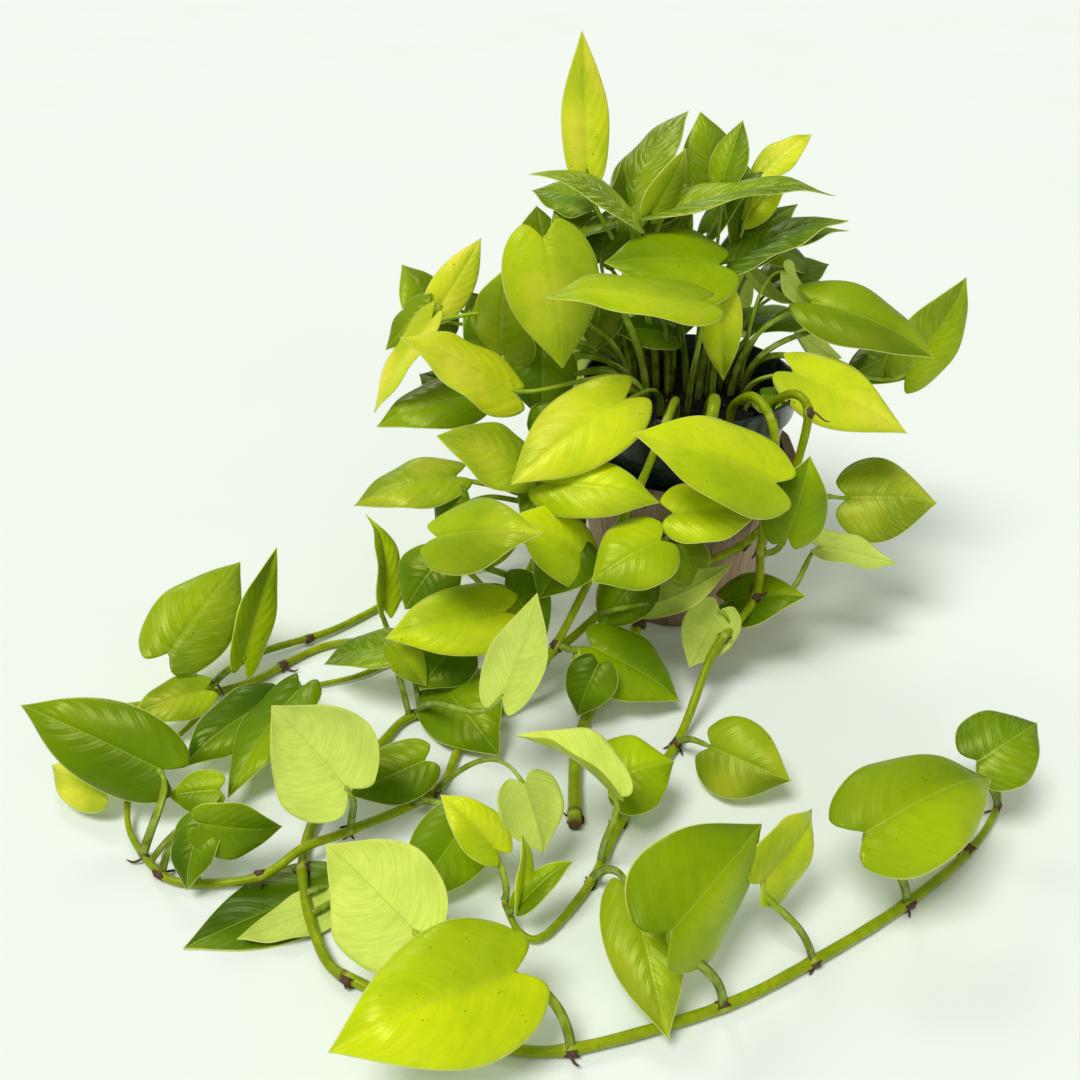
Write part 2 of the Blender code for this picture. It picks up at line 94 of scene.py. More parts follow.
# Crumbs of the soil, with their shares: mould, brown bark, red bark, orange specks and pale grains
CRUMB_COLORS = (((.012, .009, .008), .62), ((.045, .022, .012), .22), ((.10, .04, .018), .08),
                ((.30, .10, .02), .03), ((.55, .52, .46), .05))
PALE_GRAIN = 4                          # the last of them, which is smaller

# ---------------------------------------------------------------- stems

VINES = {
    "vine_long": (.3, (
        (5.6, -4.4, 17.5), (5.7, -4.5, 19.4), (6.9, -6.0, 20.9), (7.8, -7.0, 20.0), (7.5, -7.4, 16.5),
        (6.7, -7.4, 13.0), (5.3, -7.5, 10.2), (3.2, -8.9, 9.2), (-.2, -9.9, 8.1), (-4.0, -10.4, 6.1),
        (-7.1, -12.0, 5.4), (-10.0, -13.2, 3.3), (-14.8, -14.9, .4), (-21.0, -17.7, .35),
        (-23.2, -20.9, .35), (-26.3, -26.3, .4), (-26.8, -32.4, .4), (-24.3, -39.1, .5),
        (-21.4, -41.1, .35), (-17.8, -43.4, .35), (-14.4, -44.6, .35), (-10.1, -44.9, .35),
        (-1.8, -42.4, .35), (4.2, -39.3, .35), (10.8, -35.1, .35), (16.0, -30.9, .35),
        (19.0, -27.2, .5), (19.4, -25.2, 1.2))),
    "vine_front": (.28, (
        (-1.5, -4.8, 17.5), (-1.6, -5.1, 19.4), (-2.0, -7.4, 21.0), (-2.7, -9.0, 20.2),
        (-4.6, -10.5, 15.5), (-7.5, -12.2, 10.0), (-10.5, -15.2, 5.0), (-13.3, -17.0, 1.2),
        (-15.6, -18.6, .4), (-17.5, -21.4, .35), (-18.9, -25.6, .35), (-24.1, -29.9, 1.2),
        (-26.7, -31.6, 1.5), (-29.2, -33.2, .7), (-32.8, -33.5, .35), (-35.6, -32.8, .35),
        (-38.6, -29.4, .5), (-39.4, -26.6, 1.4))),
    "vine_right": (.3, (
        (2.6, -4.6, 17.5), (2.7, -4.9, 19.4), (3.7, -6.8, 21.1), (4.8, -8.3, 20.2), (5.3, -8.9, 18.0),
        (5.2, -9.1, 15.7), (5.0, -9.4, 13.7), (4.9, -10.2, 9.9), (4.8, -11.0, 6.4), (3.0, -13.0, 5.1),
        (1.1, -15.0, 3.8), (-1.9, -20.9, .4), (-6.2, -28.1, .35), (-8.4, -33.2, .35),
        (-11.4, -37.4, .35), (-13.0, -37.2, .5), (-13.9, -35.6, 1.6))),
    "vine_left": (.27, (
        (-5.6, 1.2, 17.5), (-5.7, 1.2, 19.4), (-7.2, 1.4, 20.9), (-8.9, 1.6, 20.4), (-10.0, 1.6, 18.0),
        (-11.2, 1.6, 12.0), (-12.5, 1.5, 6.0), (-15.0, 1.4, 1.5), (-18.0, 1.4, .35),
        (-20.5, 1.0, .35), (-23.6, -2.5, .35), (-28.5, -7.4, .4), (-33.9, -11.2, .9),
        (-36.3, -15.2, 1.3), (-37.0, -18.4, .6), (-38.7, -21.4, .35))),
    "vine_far_left": (.27, (
        (-4.6, -2.6, 17.5), (-4.75, -2.65, 19.4), (-6.4, -3.6, 20.9), (-8.0, -4.7, 20.4),
        (-9.1, -5.3, 18.0), (-10.6, -6.0, 12.0), (-12.5, -6.8, 6.0), (-15.5, -7.8, 1.4),
        (-18.5, -8.5, .35), (-21.4, -8.7, .3), (-28.6, -9.3, .3), (-33.7, -13.7, .3),
        (-37.2, -15.3, .3), (-42.5, -16.6, .3), (-46.2, -16.9, .5))),
    "vine_inner": (.25, (
        (-3.8, -3.7, 17.5), (-3.95, -3.85, 19.4), (-5.5, -5.3, 20.8), (-6.7, -6.5, 20.2),
        (-7.5, -7.4, 18.0), (-8.6, -9.4, 12.0), (-11.0, -10.4, 6.5), (-15.0, -11.0, 1.8),
        (-18.5, -11.1, .4), (-22.7, -11.3, .3), (-26.3, -13.4, .3), (-30.8, -14.8, .3))),
    "vine_cut": (.42, (
        (.9, -5.2, 17.55), (.9, -5.4, 19.4), (.8, -7.6, 21.2), (.4, -9.2, 20.2), (-.4, -9.7, 15.0),
        (-1.3, -9.5, 12.0), (-2.4, -8.7, 8.3), (-3.4, -8.5, 4.0), (-4.3, -9.6, 1.3),
        (-5.5, -11.7, .5), (-7.6, -16.0, .5), (-9.1, -22.0, .5), (-9.4, -28.8, .5))),
}

# ---------------------------------------------------------------- leaves

# By stem: where the stalk starts (a point of the soil, or a place along the vine), the blade's base
# and tip, its width, turn, arch and fold, then its looks: tone, share of yellow, share of streaks.
LEAVES = {
    "crown": (
        ((-2.5, 1.5), (-8.2, 4, 34.5), (-8.5, 7, 43.5), 3.4, 10, -.02, 12, .92, .85, 0),
        ((-1.6, .9), (-5, 1.9, 31.2), (-12.5, .9, 35), 3.8, 30, .14, 10, .50, .1, .5),
        ((-1.4, 2.6), (-5, 6.6, 29.8), (-.2, 9.9, 37.2), 5.4, -30, .1, 12, .40, .1, .4),
        ((.8, 2.8), (2, 8.2, 31.4), (.6, 10.6, 37), 4.6, 10, .04, 10, .50, 0, .1),
        ((0, 1.4), (-2.6, 3.4, 31.3), (10.2, 3.2, 33.3), 4.2, -32, .05, 22, .46, 0, .4),
        ((1.4, .9), (3, 3, 27.7), (11.6, 4, 30.9), 4.2, -30, .04, 12, .36, 0, .25),
        ((.7, .2), (1.6, .5, 28.4), (-7, -1.9, 29.2), 6.6, 8, .04, 8, .56, 0, 0),
        ((-.4, -2.6), (-.6, -6, 28.1), (-11.2, -9, 30.4), 5.4, 25, -.02, 12, .72, .15, 0),
        ((-3.4, -.6), (-11.4, -1.4, 30.9), (-9.7, -5, 22.5), 6.4, 0, .06, 5, .68, .35, 0),
        ((1.6, -1.4), (1.7, -.8, 26.4), (1.9, -3.2, 20.6), 3, 10, .04, 12, .82, .3, 0),
        ((2.7, 1.8), (5.4, 6, 28), (10.8, 8, 24.9), 3.4, -15, .06, 10, .40, 0, 0),
        ((3.4, .8), (9.2, 2, 24.8), (18.5, -1, 21.8), 5.4, -5, .05, 10, .46, .1, 0),
        ((4.6, 1.8), (18.1, 3.8, 17.9), (22.7, 6, 25.2), 4.6, 20, .03, 10, .50, .1, .1),
        ((4, -.8), (7.6, -2, 20.8), (16, -5, 17), 5.8, -10, .05, 10, .90, .6, 0),
        ((-2.4, -2.6), (-5.6, -7.4, 21.2), (-14, -12, 17), 5.8, 0, .025, 5, .97, .6, 0),
        ((-3.6, -1.9), (-13.8, -4.2, 20.4), (-21.2, -6.4, 26), 5.4, 16, .02, 8, 1, .75, 0),
        ((-4, -.8), (-14.6, -.1, 21.3), (-14, -2.5, 29.3), 5.2, -20, .04, 10, .55, .2, 0),
        ((-4.4, -1.4), (-16.6, -1.4, 18.6), (-24.4, -3.2, 17.3), 4.6, 10, .06, 8, .45, .1, 0),
        ((-3.2, 2.2), (-19.6, 1.4, 24.4), (-16, 3.6, 29.2), 3, 20, .02, 12, 1, 1, 0),
    ),
    "vine_right": (
        (5, (5, -11.8, 16.8), (-5.1, -13.4, 22.2), 6.2, 0, .02, 12, .92, .2, 0),
        (7, (6.6, -10.8, 11.6), (7.9, -9.8, 17.7), 4.4, 5, .02, 8, .50, 0, 0),
        (8, (9.9, -8, 8.8), (16, -8.2, 7.2), 3.8, 150, -.06, 10, .60, 0, 0),
        (11, (.1, -23.8, 2.8), (4.9, -26.8, 2.4), 5.2, 10, .06, 6, .42, .3, 0),
        (12, (-7, -27.6, 3.5), (-2.8, -26.2, 3.9), 5.2, -10, .06, 10, .66, 0, 0),
        (13, (-6.4, -37.6, 4.4), (-4.7, -44.8, 1.1), 4.2, 4, .05, 8, .58, .25, 0),
    ),
    "vine_front": (
        (6, (-7.8, -15, 4.6), (-1.2, -17.2, 1.6), 5.2, -10, .06, 8, .50, 0, 0),
        (10, (-12.7, -30.9, 6.4), (-11.4, -33.2, 2.8), 4.4, 160, -.06, 20, .60, 0, 0),
        (11, (-23.7, -30.5, 5.6), (-28.8, -26, 8.4), 6.8, 170, .03, 12, .60, 0, 0),
        (15, (-32.7, -32.2, 4.3), (-28, -31.2, 2.7), 4.2, 30, .05, 35, .40, 0, 0),
        (15.5, (-36.6, -27.2, 4), (-46, -24.4, 7.6), 5.4, -5, -.02, 8, .40, 0, 0),
    ),
    "vine_cut": (
        (4, (-2.2, -12.6, 14.8), (4.2, -12.2, 14.4), 4.8, -10, .06, 8, .88, .2, 0),
        (5.4, (-3.2, -14.2, 13.5), (-8.2, -16.2, 11.5), 5.2, 5, .05, 6, .70, .1, 0),
    ),
    "vine_inner": (
        (4, (-12.6, -8.6, 16.3), (-19, -9.6, 19.6), 5, 10, .04, 8, .64, .3, .1),
        (6, (-19, -14.2, 13.8), (-11.8, -17.4, 16.2), 5.4, -5, .06, 6, .66, .2, 0),
        (5, (-8.3, -12.5, 10.8), (-13.7, -14, 15.6), 5.2, 5, .05, 5, 1, .1, 0),
        (7, (-14.2, -15.2, 8), (-22.6, -17.8, 7.8), 5.6, 10, .05, 8, .86, .2, 0),
        (11, (-29, -19.2, 4), (-32.6, -27, 1.2), 4.4, 20, .04, 10, .42, 0, 0),
    ),
    "vine_far_left": (
        (5, (-18.2, -6, 14), (-25.8, -8, 12.6), 4.4, 15, .06, 8, .50, .35, .1),
        (12, (-38.7, -16.4, 5.2), (-35, -8.8, 8.2), 5.8, 10, .02, 6, .52, .1, .1),
    ),
    "vine_left": (
        (13, (-33.8, -14.8, 3.2), (-31.6, -8.4, 9), 3.4, 50, -.05, 25, .60, 0, 0),
    ),
    "vine_long": (
        (10, (-3.6, -12.6, 6.6), (2.4, -12.6, 10.4), 3.4, 150, .04, 12, .45, 0, 0),
        (13, (-14.2, -24.2, 7.6), (-11.8, -19.4, 12.6), 4, 165, .03, 12, .60, 0, 0),
        (19, (-18.5, -41, 5.2), (-23.9, -36, 6.5), 6.4, 170, .02, 8, 1, .3, 0),
        (21, (-13, -43.4, 5), (-22.2, -48.2, 5.8), 6.8, 10, .06, 5, .95, .1, 0),
        (22.05, (-4.6, -41.9, 6.4), (1.2, -35, 7.6), 6.6, 22, .03, -12, .54, 0, 0),
        (23, (1.2, -37.4, 5), (5.4, -32.4, 5.5), 4, 36, .04, 14, .74, .4, 0),
        (24, (7.4, -35.2, 6.8), (16.2, -30.4, 7.2), 6.5, -15, .08, 2, .55, .1, 0),
        (26, (16.8, -27.4, 5), (21.2, -25.4, 6.4), 5, -10, .06, 5, .38, 0, .1),
        (5, (12.7, -4, 10.9), (19.4, -5, 11.3), 6.4, 5, .03, 6, .52, .3, .15),
    ),
}

# Leaves that only the looks have, between the others, in the same columns without the start
FILLERS = (
    ((-7.9, 6, 31.5), (-12.3, 8, 31.7), 3.6, 10, .05, 8, .38, 0, .1),
    ((-3.4, 3, 31.5), (-.8, 5, 35.6), 2.6, 40, .04, 20, .50, .2, 0),
    ((2, 5, 33.3), (3.6, 7, 37.2), 2.8, -20, .04, 12, .46, 0, .1),
    ((5.2, 6, 33.7), (9, 8, 36.1), 2.8, -15, .04, 15, .92, .8, 0),
    ((4, 6, 30), (7.4, 8, 32.4), 2.8, -10, .04, 12, .80, .5, 0),
    ((-1.2, 2, 22.1), (-6.5, 1, 23), 3, 5, .05, 8, .22, 0, 0),
    ((4.2, 4, 26.8), (8.3, 3, 24.1), 2.6, 150, .05, 10, .50, 0, 0),
    ((8.7, 8, 23.9), (13.7, 9, 22.3), 3.4, -15, .05, 10, .50, 0, 0),
    ((18.4, 6, 19.1), (13.2, 5, 16.9), 4.4, 10, .04, 8, .38, 0, 0),
    ((5.3, -2, 18.9), (7.7, -4, 18.9), 2.8, -10, .04, 8, .40, 0, 0),
    ((2.7, -10, 5.1), (8.2, -12, 7.4), 4.2, -10, .05, 8, .42, 0, 0),
    ((-11.3, -11, 16.3), (-3.2, -12.6, 16.1), 4.4, 5, .05, 8, .84, .2, 0),
    ((-19.9, -1, 24.6), (-24.5, -2, 17.2), 3.8, 34, .02, 20, .90, .9, 0),
    ((-20.1, 1, 25), (-23.6, 0, 21.7), 3.2, 10, .04, 8, .45, .1, 0),
    ((-13.6, 1, 23), (-10.2, 0, 20.7), 3.4, -10, .04, 8, .40, 0, 0),
    ((-11.5, 0, 21.8), (-11.5, -3, 17.2), 5, 0, .05, 6, .32, 0, 0),
    ((-23.8, -10.4, 5), (-25, -5.4, 10.4), 3, 48, .12, 35, .74, .1, 0),
    ((1.7, -13, 6.5), (-.4, -15, 2.6), 4, 170, .04, 10, .55, 0, 0),
    ((-19, -16.8, 2.5), (-14.5, -22.6, 1.3), 5.6, 5, .05, 6, .42, 0, 0),
    ((-19.5, -25.3, 3), (-24.5, -27, 1.3), 4, 5, .05, 8, .44, 0, 0),
    ((-36.1, -18, 3), (-41, -20.4, 2.4), 3.4, 10, .04, 8, .54, .3, 0),
    ((-40.7, -27.1, 2), (-45.6, -23.9, 1.2), 3.4, 5, .03, 6, .70, .8, 0),
    ((-32.8, -28, 3), (-36.2, -28, 2.4), 2.8, 5, .04, 10, .58, 0, 0),
    ((-32.9, -31.8, 4), (-33.5, -34.8, 1.2), 3, 10, .04, 12, .32, 0, 0),
    ((-31.1, -19.1, 3), (-36.5, -24.2, 1.6), 4.4, 10, .04, 8, .20, 0, 0),
    ((-22.1, -15.9, 5), (-28.1, -14.6, 3), 4, 30, .04, 25, .40, 0, .2),
    ((-22.2, -16.6, 6), (-19.9, -17.8, 3.2), 2.4, 5, .04, 8, .62, .2, 0),
    ((-25.1, -33.5, .1), (-33.1, -37.9, .2), 5.4, 33, -.02, 4, .26, 0, 0),
    ((-16.2, -30.2, 2.6), (-19.6, -35.7, 1.3), 4.8, 5, .05, 8, .42, 0, 0),
    ((-14.3, -34.1, 4), (-17.7, -31.6, 6.4), 3, 15, .04, 18, .90, .3, 0),
    ((-7.3, -31.5, 6), (-13.5, -27.8, 7), 3.6, 232, -.17, -30, .95, .3, 0),
    ((-12.9, -36.9, 2.5), (-12.6, -34, 5.4), 1.8, 50, .05, 30, .70, .2, 0),
    ((-12.9, -36.9, 2.5), (-9.8, -34.8, 4.2), 1.8, -20, .05, 20, .52, 0, 0),
    # low in the crown, shaded by the others, with dark tones that are partly painted shade
    ((-3.8, 6, 27.6), (-5.3, 9, 33.9), 5, 20, .06, 14, .22, .1, 0),
    ((-1.5, 5, 28.9), (-2.9, 8, 34.7), 4.2, -30, .08, 20, .3, .1, .3),
    ((-7.9, 4, 28.2), (-10.2, 7, 31.5), 4.4, 15, .06, 12, .25, .1, 0),
    ((4.3, 6, 28.4), (3.6, 9, 34.5), 4, 30, .06, 16, .34, .1, 0),
    ((3, 4, 27.3), (8.5, 7, 30.8), 4.2, -25, .08, 14, .26, 0, .2),
    ((-10.2, 2, 25), (-11.7, 5, 29.3), 4, 25, .06, 12, .3, 0, 0),
    ((-7.1, 1, 25.4), (-7.4, 0, 21.6), 3.6, 10, .06, 10, .22, .1, 0),
    ((6.7, 6, 24.7), (11.6, 8, 25.9), 4.2, -20, .06, 12, .3, 0, .1),
    ((-7.1, 3, 27.7), (-6.2, 6, 31.1), 4, -10, .06, 14, .2, 0, .1),
    ((-19.5, 2, 22.5), (-22.5, 5, 26.9), 4.2, 15, .06, 12, .36, .1, 0),
    ((-14.8, 1, 21.7), (-17.1, 3, 25.4), 4.6, 15, .06, 10, .34, 0, 0),
    ((-17.2, 0, 17.5), (-21.3, 2, 19), 4.6, 10, .06, 10, .3, 0, 0),
    ((-10.2, -4, 18.6), (-11.3, -6, 15.8), 4.2, 5, .06, 10, .3, 0, 0),
    ((10.6, 5, 23.8), (15.4, 6, 19.1), 4, -15, .06, 12, .36, 0, 0),
    ((-3.7, 4, 21.7), (1.2, 5, 22), 3.6, -10, .06, 12, .18, 0, 0),
    # among the hanging vines
    ((-14.3, -13, 8.8), (-11.1, -16, 6), 4.6, -5, .06, 10, .4, 0, 0),
    ((-9.1, -12, 11.7), (-11.7, -15, 8.9), 4.4, 5, .06, 10, .3, 0, 0),
    ((-4.2, -11, 8.3), (-7.2, -13, 4.6), 4.4, 5, .06, 10, .34, 0, 0),
    ((-7.5, -17, 4.5), (-9.1, -19, 1.4), 3.6, 5, .06, 10, .26, 0, 0),
    ((-19.2, -11, 9.7), (-21.8, -13, 6.5), 4.8, 5, .06, 10, .36, 0, 0),
    ((-18, -15, 4.8), (-20.4, -18, 3), 4.8, 5, .06, 10, .34, 0, 0),
    ((-17, -8, 13.1), (-19.3, -9, 9.7), 4.6, 5, .06, 10, .34, 0, 0),
    ((-10.2, -8, 14.8), (-13.2, -11, 13.2), 4.4, 5, .06, 10, .38, 0, 0),
    ((-13.6, -6, 15.8), (-11.7, -8, 13.1), 4.4, -5, .06, 10, .3, 0, 0),
    ((-1.2, -10, 10.3), (.3, -12, 7.6), 3.6, -5, .06, 10, .4, .1, 0),
    ((-3.2, 6, 30.3), (0, 9, 33.1), 4.6, -20, .06, 14, .24, 0, .2),
    ((-11.3, 3, 27.4), (-12.1, 6, 31.1), 4.2, 20, .06, 12, .28, .1, 0),
    # the crown's back
    ((-9, 8.4, 27), (-13.6, 11.6, 22.4), 5, 170, .05, 8, .60, 0, .1),
    ((-2.4, 9, 26), (-4.4, 12.2, 19.4), 5.4, 175, .06, 8, .52, .1, 0),
    ((3.6, 9.2, 24.6), (6.2, 12, 17.6), 5.2, 180, .06, 8, .60, 0, .1),
    ((9.6, 8.4, 20.6), (14.4, 11, 15.8), 4.8, 170, .05, 8, .50, 0, 0),
    ((-12.8, 6.6, 20.4), (-17.6, 10.4, 16), 5, 175, .05, 8, .44, 0, 0),
    ((-7.2, 10.2, 17.8), (-9.2, 12.2, 11.6), 4.8, 180, .06, 8, .50, .2, 0),
    ((.4, 10.8, 16.8), (.8, 12.4, 10.2), 5, 180, .05, 6, .46, 0, 0),
    ((7.4, 9.8, 14.4), (9.8, 11.6, 8.4), 4.4, 180, .05, 8, .56, .1, 0),
    ((-1.6, 7, 22.6), (-8.4, 9.6, 24.2), 5, 30, .05, 8, .40, 0, 0),
    ((5, 6.6, 21.6), (11.6, 9, 20.8), 4.6, -30, .05, 8, .46, 0, 0),
    # two that show their undersides, and dense growth at the crown's top
    ((-24.3, -34.9, .2), (-29.6, -38.1, .3), 3.2, 213, -.02, 16, .60, 0, 0),
    ((7, 2.6, 27), (9.4, 3.4, 24), 2.8, 170, .05, 12, .70, 0, 0),
    ((-6.4, 4.6, 30.2), (-10.6, 6, 28), 3.4, 30, .06, 15, .32, 0, .2),
    ((1.6, 6.6, 29), (6.2, 8, 34), 3.6, -40, .08, 18, .38, 0, .1),
    ((4.8, 5, 27), (12.4, 6.4, 29.2), 3.4, -35, .07, 18, .30, 0, .2),
)

LIGHT = np.array((0.0, -0.6, 0.8))    # the way that an unturned blade faces
FLOOR_CLEARANCE = 0.02

BLADE_ROWS = 44
BLADE_COLUMNS = 23
BLADE_THICKNESS = 0.05
FULLNESS = 1.1                  # how much wider a blade is than its solid, whose outline has few points
TIP_DRAW = 0.60                 # how strongly the sides draw in towards the tip
LOBE = 0.1375                   # how far the lobes sweep back, as a share of the blade's length
RIM_DROOP = 0.30                # how far the rim bends down and waves, as shares of the half width
RIM_WAVE = 0.09
RIM_ROUGHNESS = 0.03            # small dents towards the rim, in centimetres
SIDE_BEND = 0.035               # how far a blade bends sideways, as a share of its length
TIP_DIP = 0.035                 # how far its end dips, as a share of its length
TIP_START = 0.72
SIDE_VEINS = 8
VEIN_LEAN = 0.34                # how far a side vein runs towards the tip, as a share of the length
VEIN_BEND = 1.2
QUILTING = 0.022
FULL_QUILT_LENGTH = 8           # shorter blades are quilted less
MIDRIB_GROOVE = 0.07
GROOVE_WIDTH = 0.13
RIB_WIDTH = 0.11

STALK_ROWS = 26
STALK_SIDES = 12
STALK_RADIUS = 0.21
STALK_TAPER = 0.06
KNEE = 0.05                     # how much thicker the stalk gets under the blade
SHEATH_WIDTH = 0.3              # share of the stalk over which its sheath fades out

CROWN_HEIGHT = 16.5             # fillers above this height and within this reach grow from the soil,
CROWN_REACH = 20                # at most CROWN_FOOT from its middle
CROWN_FOOT = 4.6

STEM_FULLNESS = 1.08            # how much thicker a stem is than its solid
STEM_STEP = 0.3
STEM_TAPER = 0.35               # how much thinner a stem gets over its last TAPER_LENGTH
TAPER_LENGTH = 14
NODE_SPACING = 6.5
NODE_LENGTH = 0.42
NODE_SWELLING = 0.22
RING_LENGTH = 0.12
RING_DEPTH = 0.12
ROOT_ROWS = 9
ROOT_RADIUS = 0.10
ROOT_CLEARANCE = 0.09
SCALE_COLUMNS = 9               # points across a dry scale, which has three rows of them


def unit(vector):
    """The vector made 1 long."""
    return vector / np.linalg.norm(vector)


def smooth_step(low, high, value):
    """0 on low's side, 1 on high's side, and a smooth change between them."""
    share = np.clip((value - low) / (high - low), 0.0, 1.0)
    return share * share * (3 - 2 * share)


# ---------------------------------------------------------------- mesh helpers

def make_mesh(name, points, faces, slots=None, layers=None):
    """A smooth mesh from points in centimetres. Layers are per-point vectors or colours by name."""
    mesh = bpy.data.meshes.new(name)
    places = (np.asarray(points, float) * CM).tolist()
    mesh.from_pydata(places, [], [list(map(int, face)) for face in faces])
    for layer, values in (layers or {}).items():
        values = np.asarray(values, np.float32)
        if values.shape[1] == 4:
            attribute = mesh.attributes.new(layer, "FLOAT_COLOR", "POINT")
            attribute.data.foreach_set("color", values.ravel())
        else:
            attribute = mesh.attributes.new(layer, "FLOAT_VECTOR", "POINT")
            attribute.data.foreach_set("vector", values.ravel())
    if slots is not None:
        mesh.polygons.foreach_set("material_index", np.asarray(slots, np.int32))
    mesh.shade_smooth()
    return mesh


def add_piece(name, mesh, materials, replaced=()):
    """An object of the root body and the CAD nodes that it replaces."""
    for material in materials:
        mesh.materials.append(material)
    piece = bpy.data.objects.new(name, mesh)
    bpy.context.scene.collection.objects.link(piece)
    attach(piece, "root")
    if replaced:
        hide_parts(*replaced)
    return piece


def grid_faces(rows, columns, first=0, wrap=False, flip=False):
    """Quads over a grid of points. A wrapped grid joins its last column to its first."""
    row = np.arange(rows - 1)[:, None]
    column = np.arange(columns if wrap else columns - 1)[None, :]
    after = (column + 1) % columns
    corners = (row * columns + column, row * columns + after,
               (row + 1) * columns + after, (row + 1) * columns + column)
    faces = np.stack([np.broadcast_to(corner, (rows - 1, column.shape[1])) for corner in corners], -1)
    faces = faces.reshape(-1, 4) + first
    return faces[:, ::-1] if flip else faces


class Builder:
    """Collects the parts of one mesh, with the same layers on every part."""

    def __init__(self, layers):
        self.points, self.faces, self.slots = [], [], []
        self.layers = {layer: [] for layer in layers}
        self.count = 0

    def add(self, points, faces, slot, **layers):
        points = np.asarray(points, float).reshape(-1, 3)
        self.points.append(points)
        self.faces += [[int(corner) + self.count for corner in face] for face in faces]
        self.slots += [slot] * len(faces)
        for layer, collected in self.layers.items():
            values = np.asarray(layers[layer], float)
            collected.append(np.broadcast_to(values, (len(points), values.shape[-1])))
        self.count += len(points)

    def mesh(self, name):
        layers = {layer: np.concatenate(values) for layer, values in self.layers.items()}
        return make_mesh(name, np.concatenate(self.points), self.faces, self.slots, layers)


def tube_faces(rings, sides, flip=False):
    """A skin over rings, with both ends closed by a face. Rings that turn the other way are flipped."""
    faces = grid_faces(rings, sides, wrap=True).tolist()
    faces.append(list(range(sides))[::-1])
    faces.append(list(range((rings - 1) * sides, rings * sides)))
    return [face[::-1] for face in faces] if flip else faces


def tube_points(centres, radii, guide, shape=None):
    """Rings round the centres, carried along without twisting. Shape gives radius factors by angle."""
    steps = np.gradient(centres, axis=0)
    turns = 2 * np.pi * np.arange(STALK_SIDES) / STALK_SIDES
    rings = []
    for number, centre in enumerate(centres):
        direction = unit(steps[number])
        guide = unit(guide - direction * np.dot(guide, direction))
        side = np.cross(direction, guide)
        reach = radii[number] * (np.ones(STALK_SIDES) if shape is None else shape[number])
        rings.append(centre + np.outer(np.cos(turns) * reach, side)
                     + np.outer(np.sin(turns) * reach, guide))
    return np.array(rings)


# ---------------------------------------------------------------- materials

class Shader:
    """Short calls for building one material's nodes."""

    def __init__(self, name):
        self.material = bpy.data.materials.new(name)
        self.material.use_nodes = True
        self.tree = self.material.node_tree
        self.surface = self.tree.nodes["Principled BSDF"]

    def link(self, value, socket):
        """Feeds the socket from another node, or with a constant."""
        if isinstance(value, bpy.types.NodeSocket):
            self.tree.links.new(value, socket)
        else:
            socket.default_value = value

    def node(self, kind, output=0, settings=None, **inputs):
        """A node's output. Inputs go by name, or by number as i0, i1 and so on."""
        made = self.tree.nodes.new(kind)
        for key, value in (settings or {}).items():
            setattr(made, key, value)
        for key, value in inputs.items():
            place = int(key[1:]) if key[0] == "i" and key[1:].isdigit() else key.replace("_", " ")
            self.link(value, made.inputs[place])
        return made.outputs[output]

    def math(self, operation, first, second=0.0):
        return self.node("ShaderNodeMath", settings={"operation": operation}, i0=first, i1=second)

    def times(self, first, second):
        return self.math("MULTIPLY", first, second)

    def plus(self, first, second):
        return self.math("ADD", first, second)

    def ripple(self, value):
        """Falls from a half to 0 and rises again in each whole step of the value."""
        return self.math("ABSOLUTE", self.math("SUBTRACT", self.math("FRACT", value), 0.5))

    def vector(self, operation, first, **inputs):
        return self.node("ShaderNodeVectorMath", settings={"operation": operation}, i0=first, **inputs)

    def attribute(self, name, output="Vector"):
        made = self.tree.nodes.new("ShaderNodeAttribute")
        made.attribute_name = name
        return made.outputs[output]

    def split(self, vector):
        made = self.tree.nodes.new("ShaderNodeSeparateXYZ")
        self.tree.links.new(vector, made.inputs[0])
        return made.outputs

    def join(self, x, y, z):
        return self.node("ShaderNodeCombineXYZ", X=x, Y=y, Z=z)

    def noise(self, vector, scale, detail=3.0, roughness=0.5):
        return self.node("ShaderNodeTexNoise", Vector=vector, Scale=scale, Detail=detail,
                         Roughness=roughness)

    def ramp(self, value, low, high, start=0.0, end=1.0):
        """Goes smoothly from start to end while the value goes from low to high."""
        return self.node("ShaderNodeMapRange", settings={"interpolation_type": "SMOOTHSTEP"},
                         Value=value, From_Min=low, From_Max=high, To_Min=start, To_Max=end)

    def mix(self, share, first, second, blend="MIX"):
        return self.node("ShaderNodeMix", 2, settings={"data_type": "RGBA", "blend_type": blend},
                         i0=share, i6=first, i7=second)

    def scaled(self, color, red, green, blue):
        """The colour with each channel multiplied."""
        return self.mix(1.0, color, (red, green, blue, 1), "MULTIPLY")

    def bump(self, height, strength, distance, normal=None):
        made = self.tree.nodes.new("ShaderNodeBump")
        made.inputs["Strength"].default_value = strength
        made.inputs["Distance"].default_value = distance
        self.tree.links.new(height, made.inputs["Height"])
        if normal is not None:
            self.tree.links.new(normal, made.inputs["Normal"])
        return made.outputs[0]

    def place(self):
        """The point's own place in metres."""
        return self.node("ShaderNodeTexCoord", "Object")

    def finish(self, color, roughness, normal=None, specular=0.5, gloss_tint=(1, 1, 1, 1)):
        self.link(color, self.surface.inputs["Base Color"])
        self.link(roughness, self.surface.inputs["Roughness"])
        self.surface.inputs["Specular IOR Level"].default_value = specular
        self.surface.inputs["Specular Tint"].default_value = gloss_tint
        if normal is not None:
            self.tree.links.new(normal, self.surface.inputs["Normal"])
        return self.material


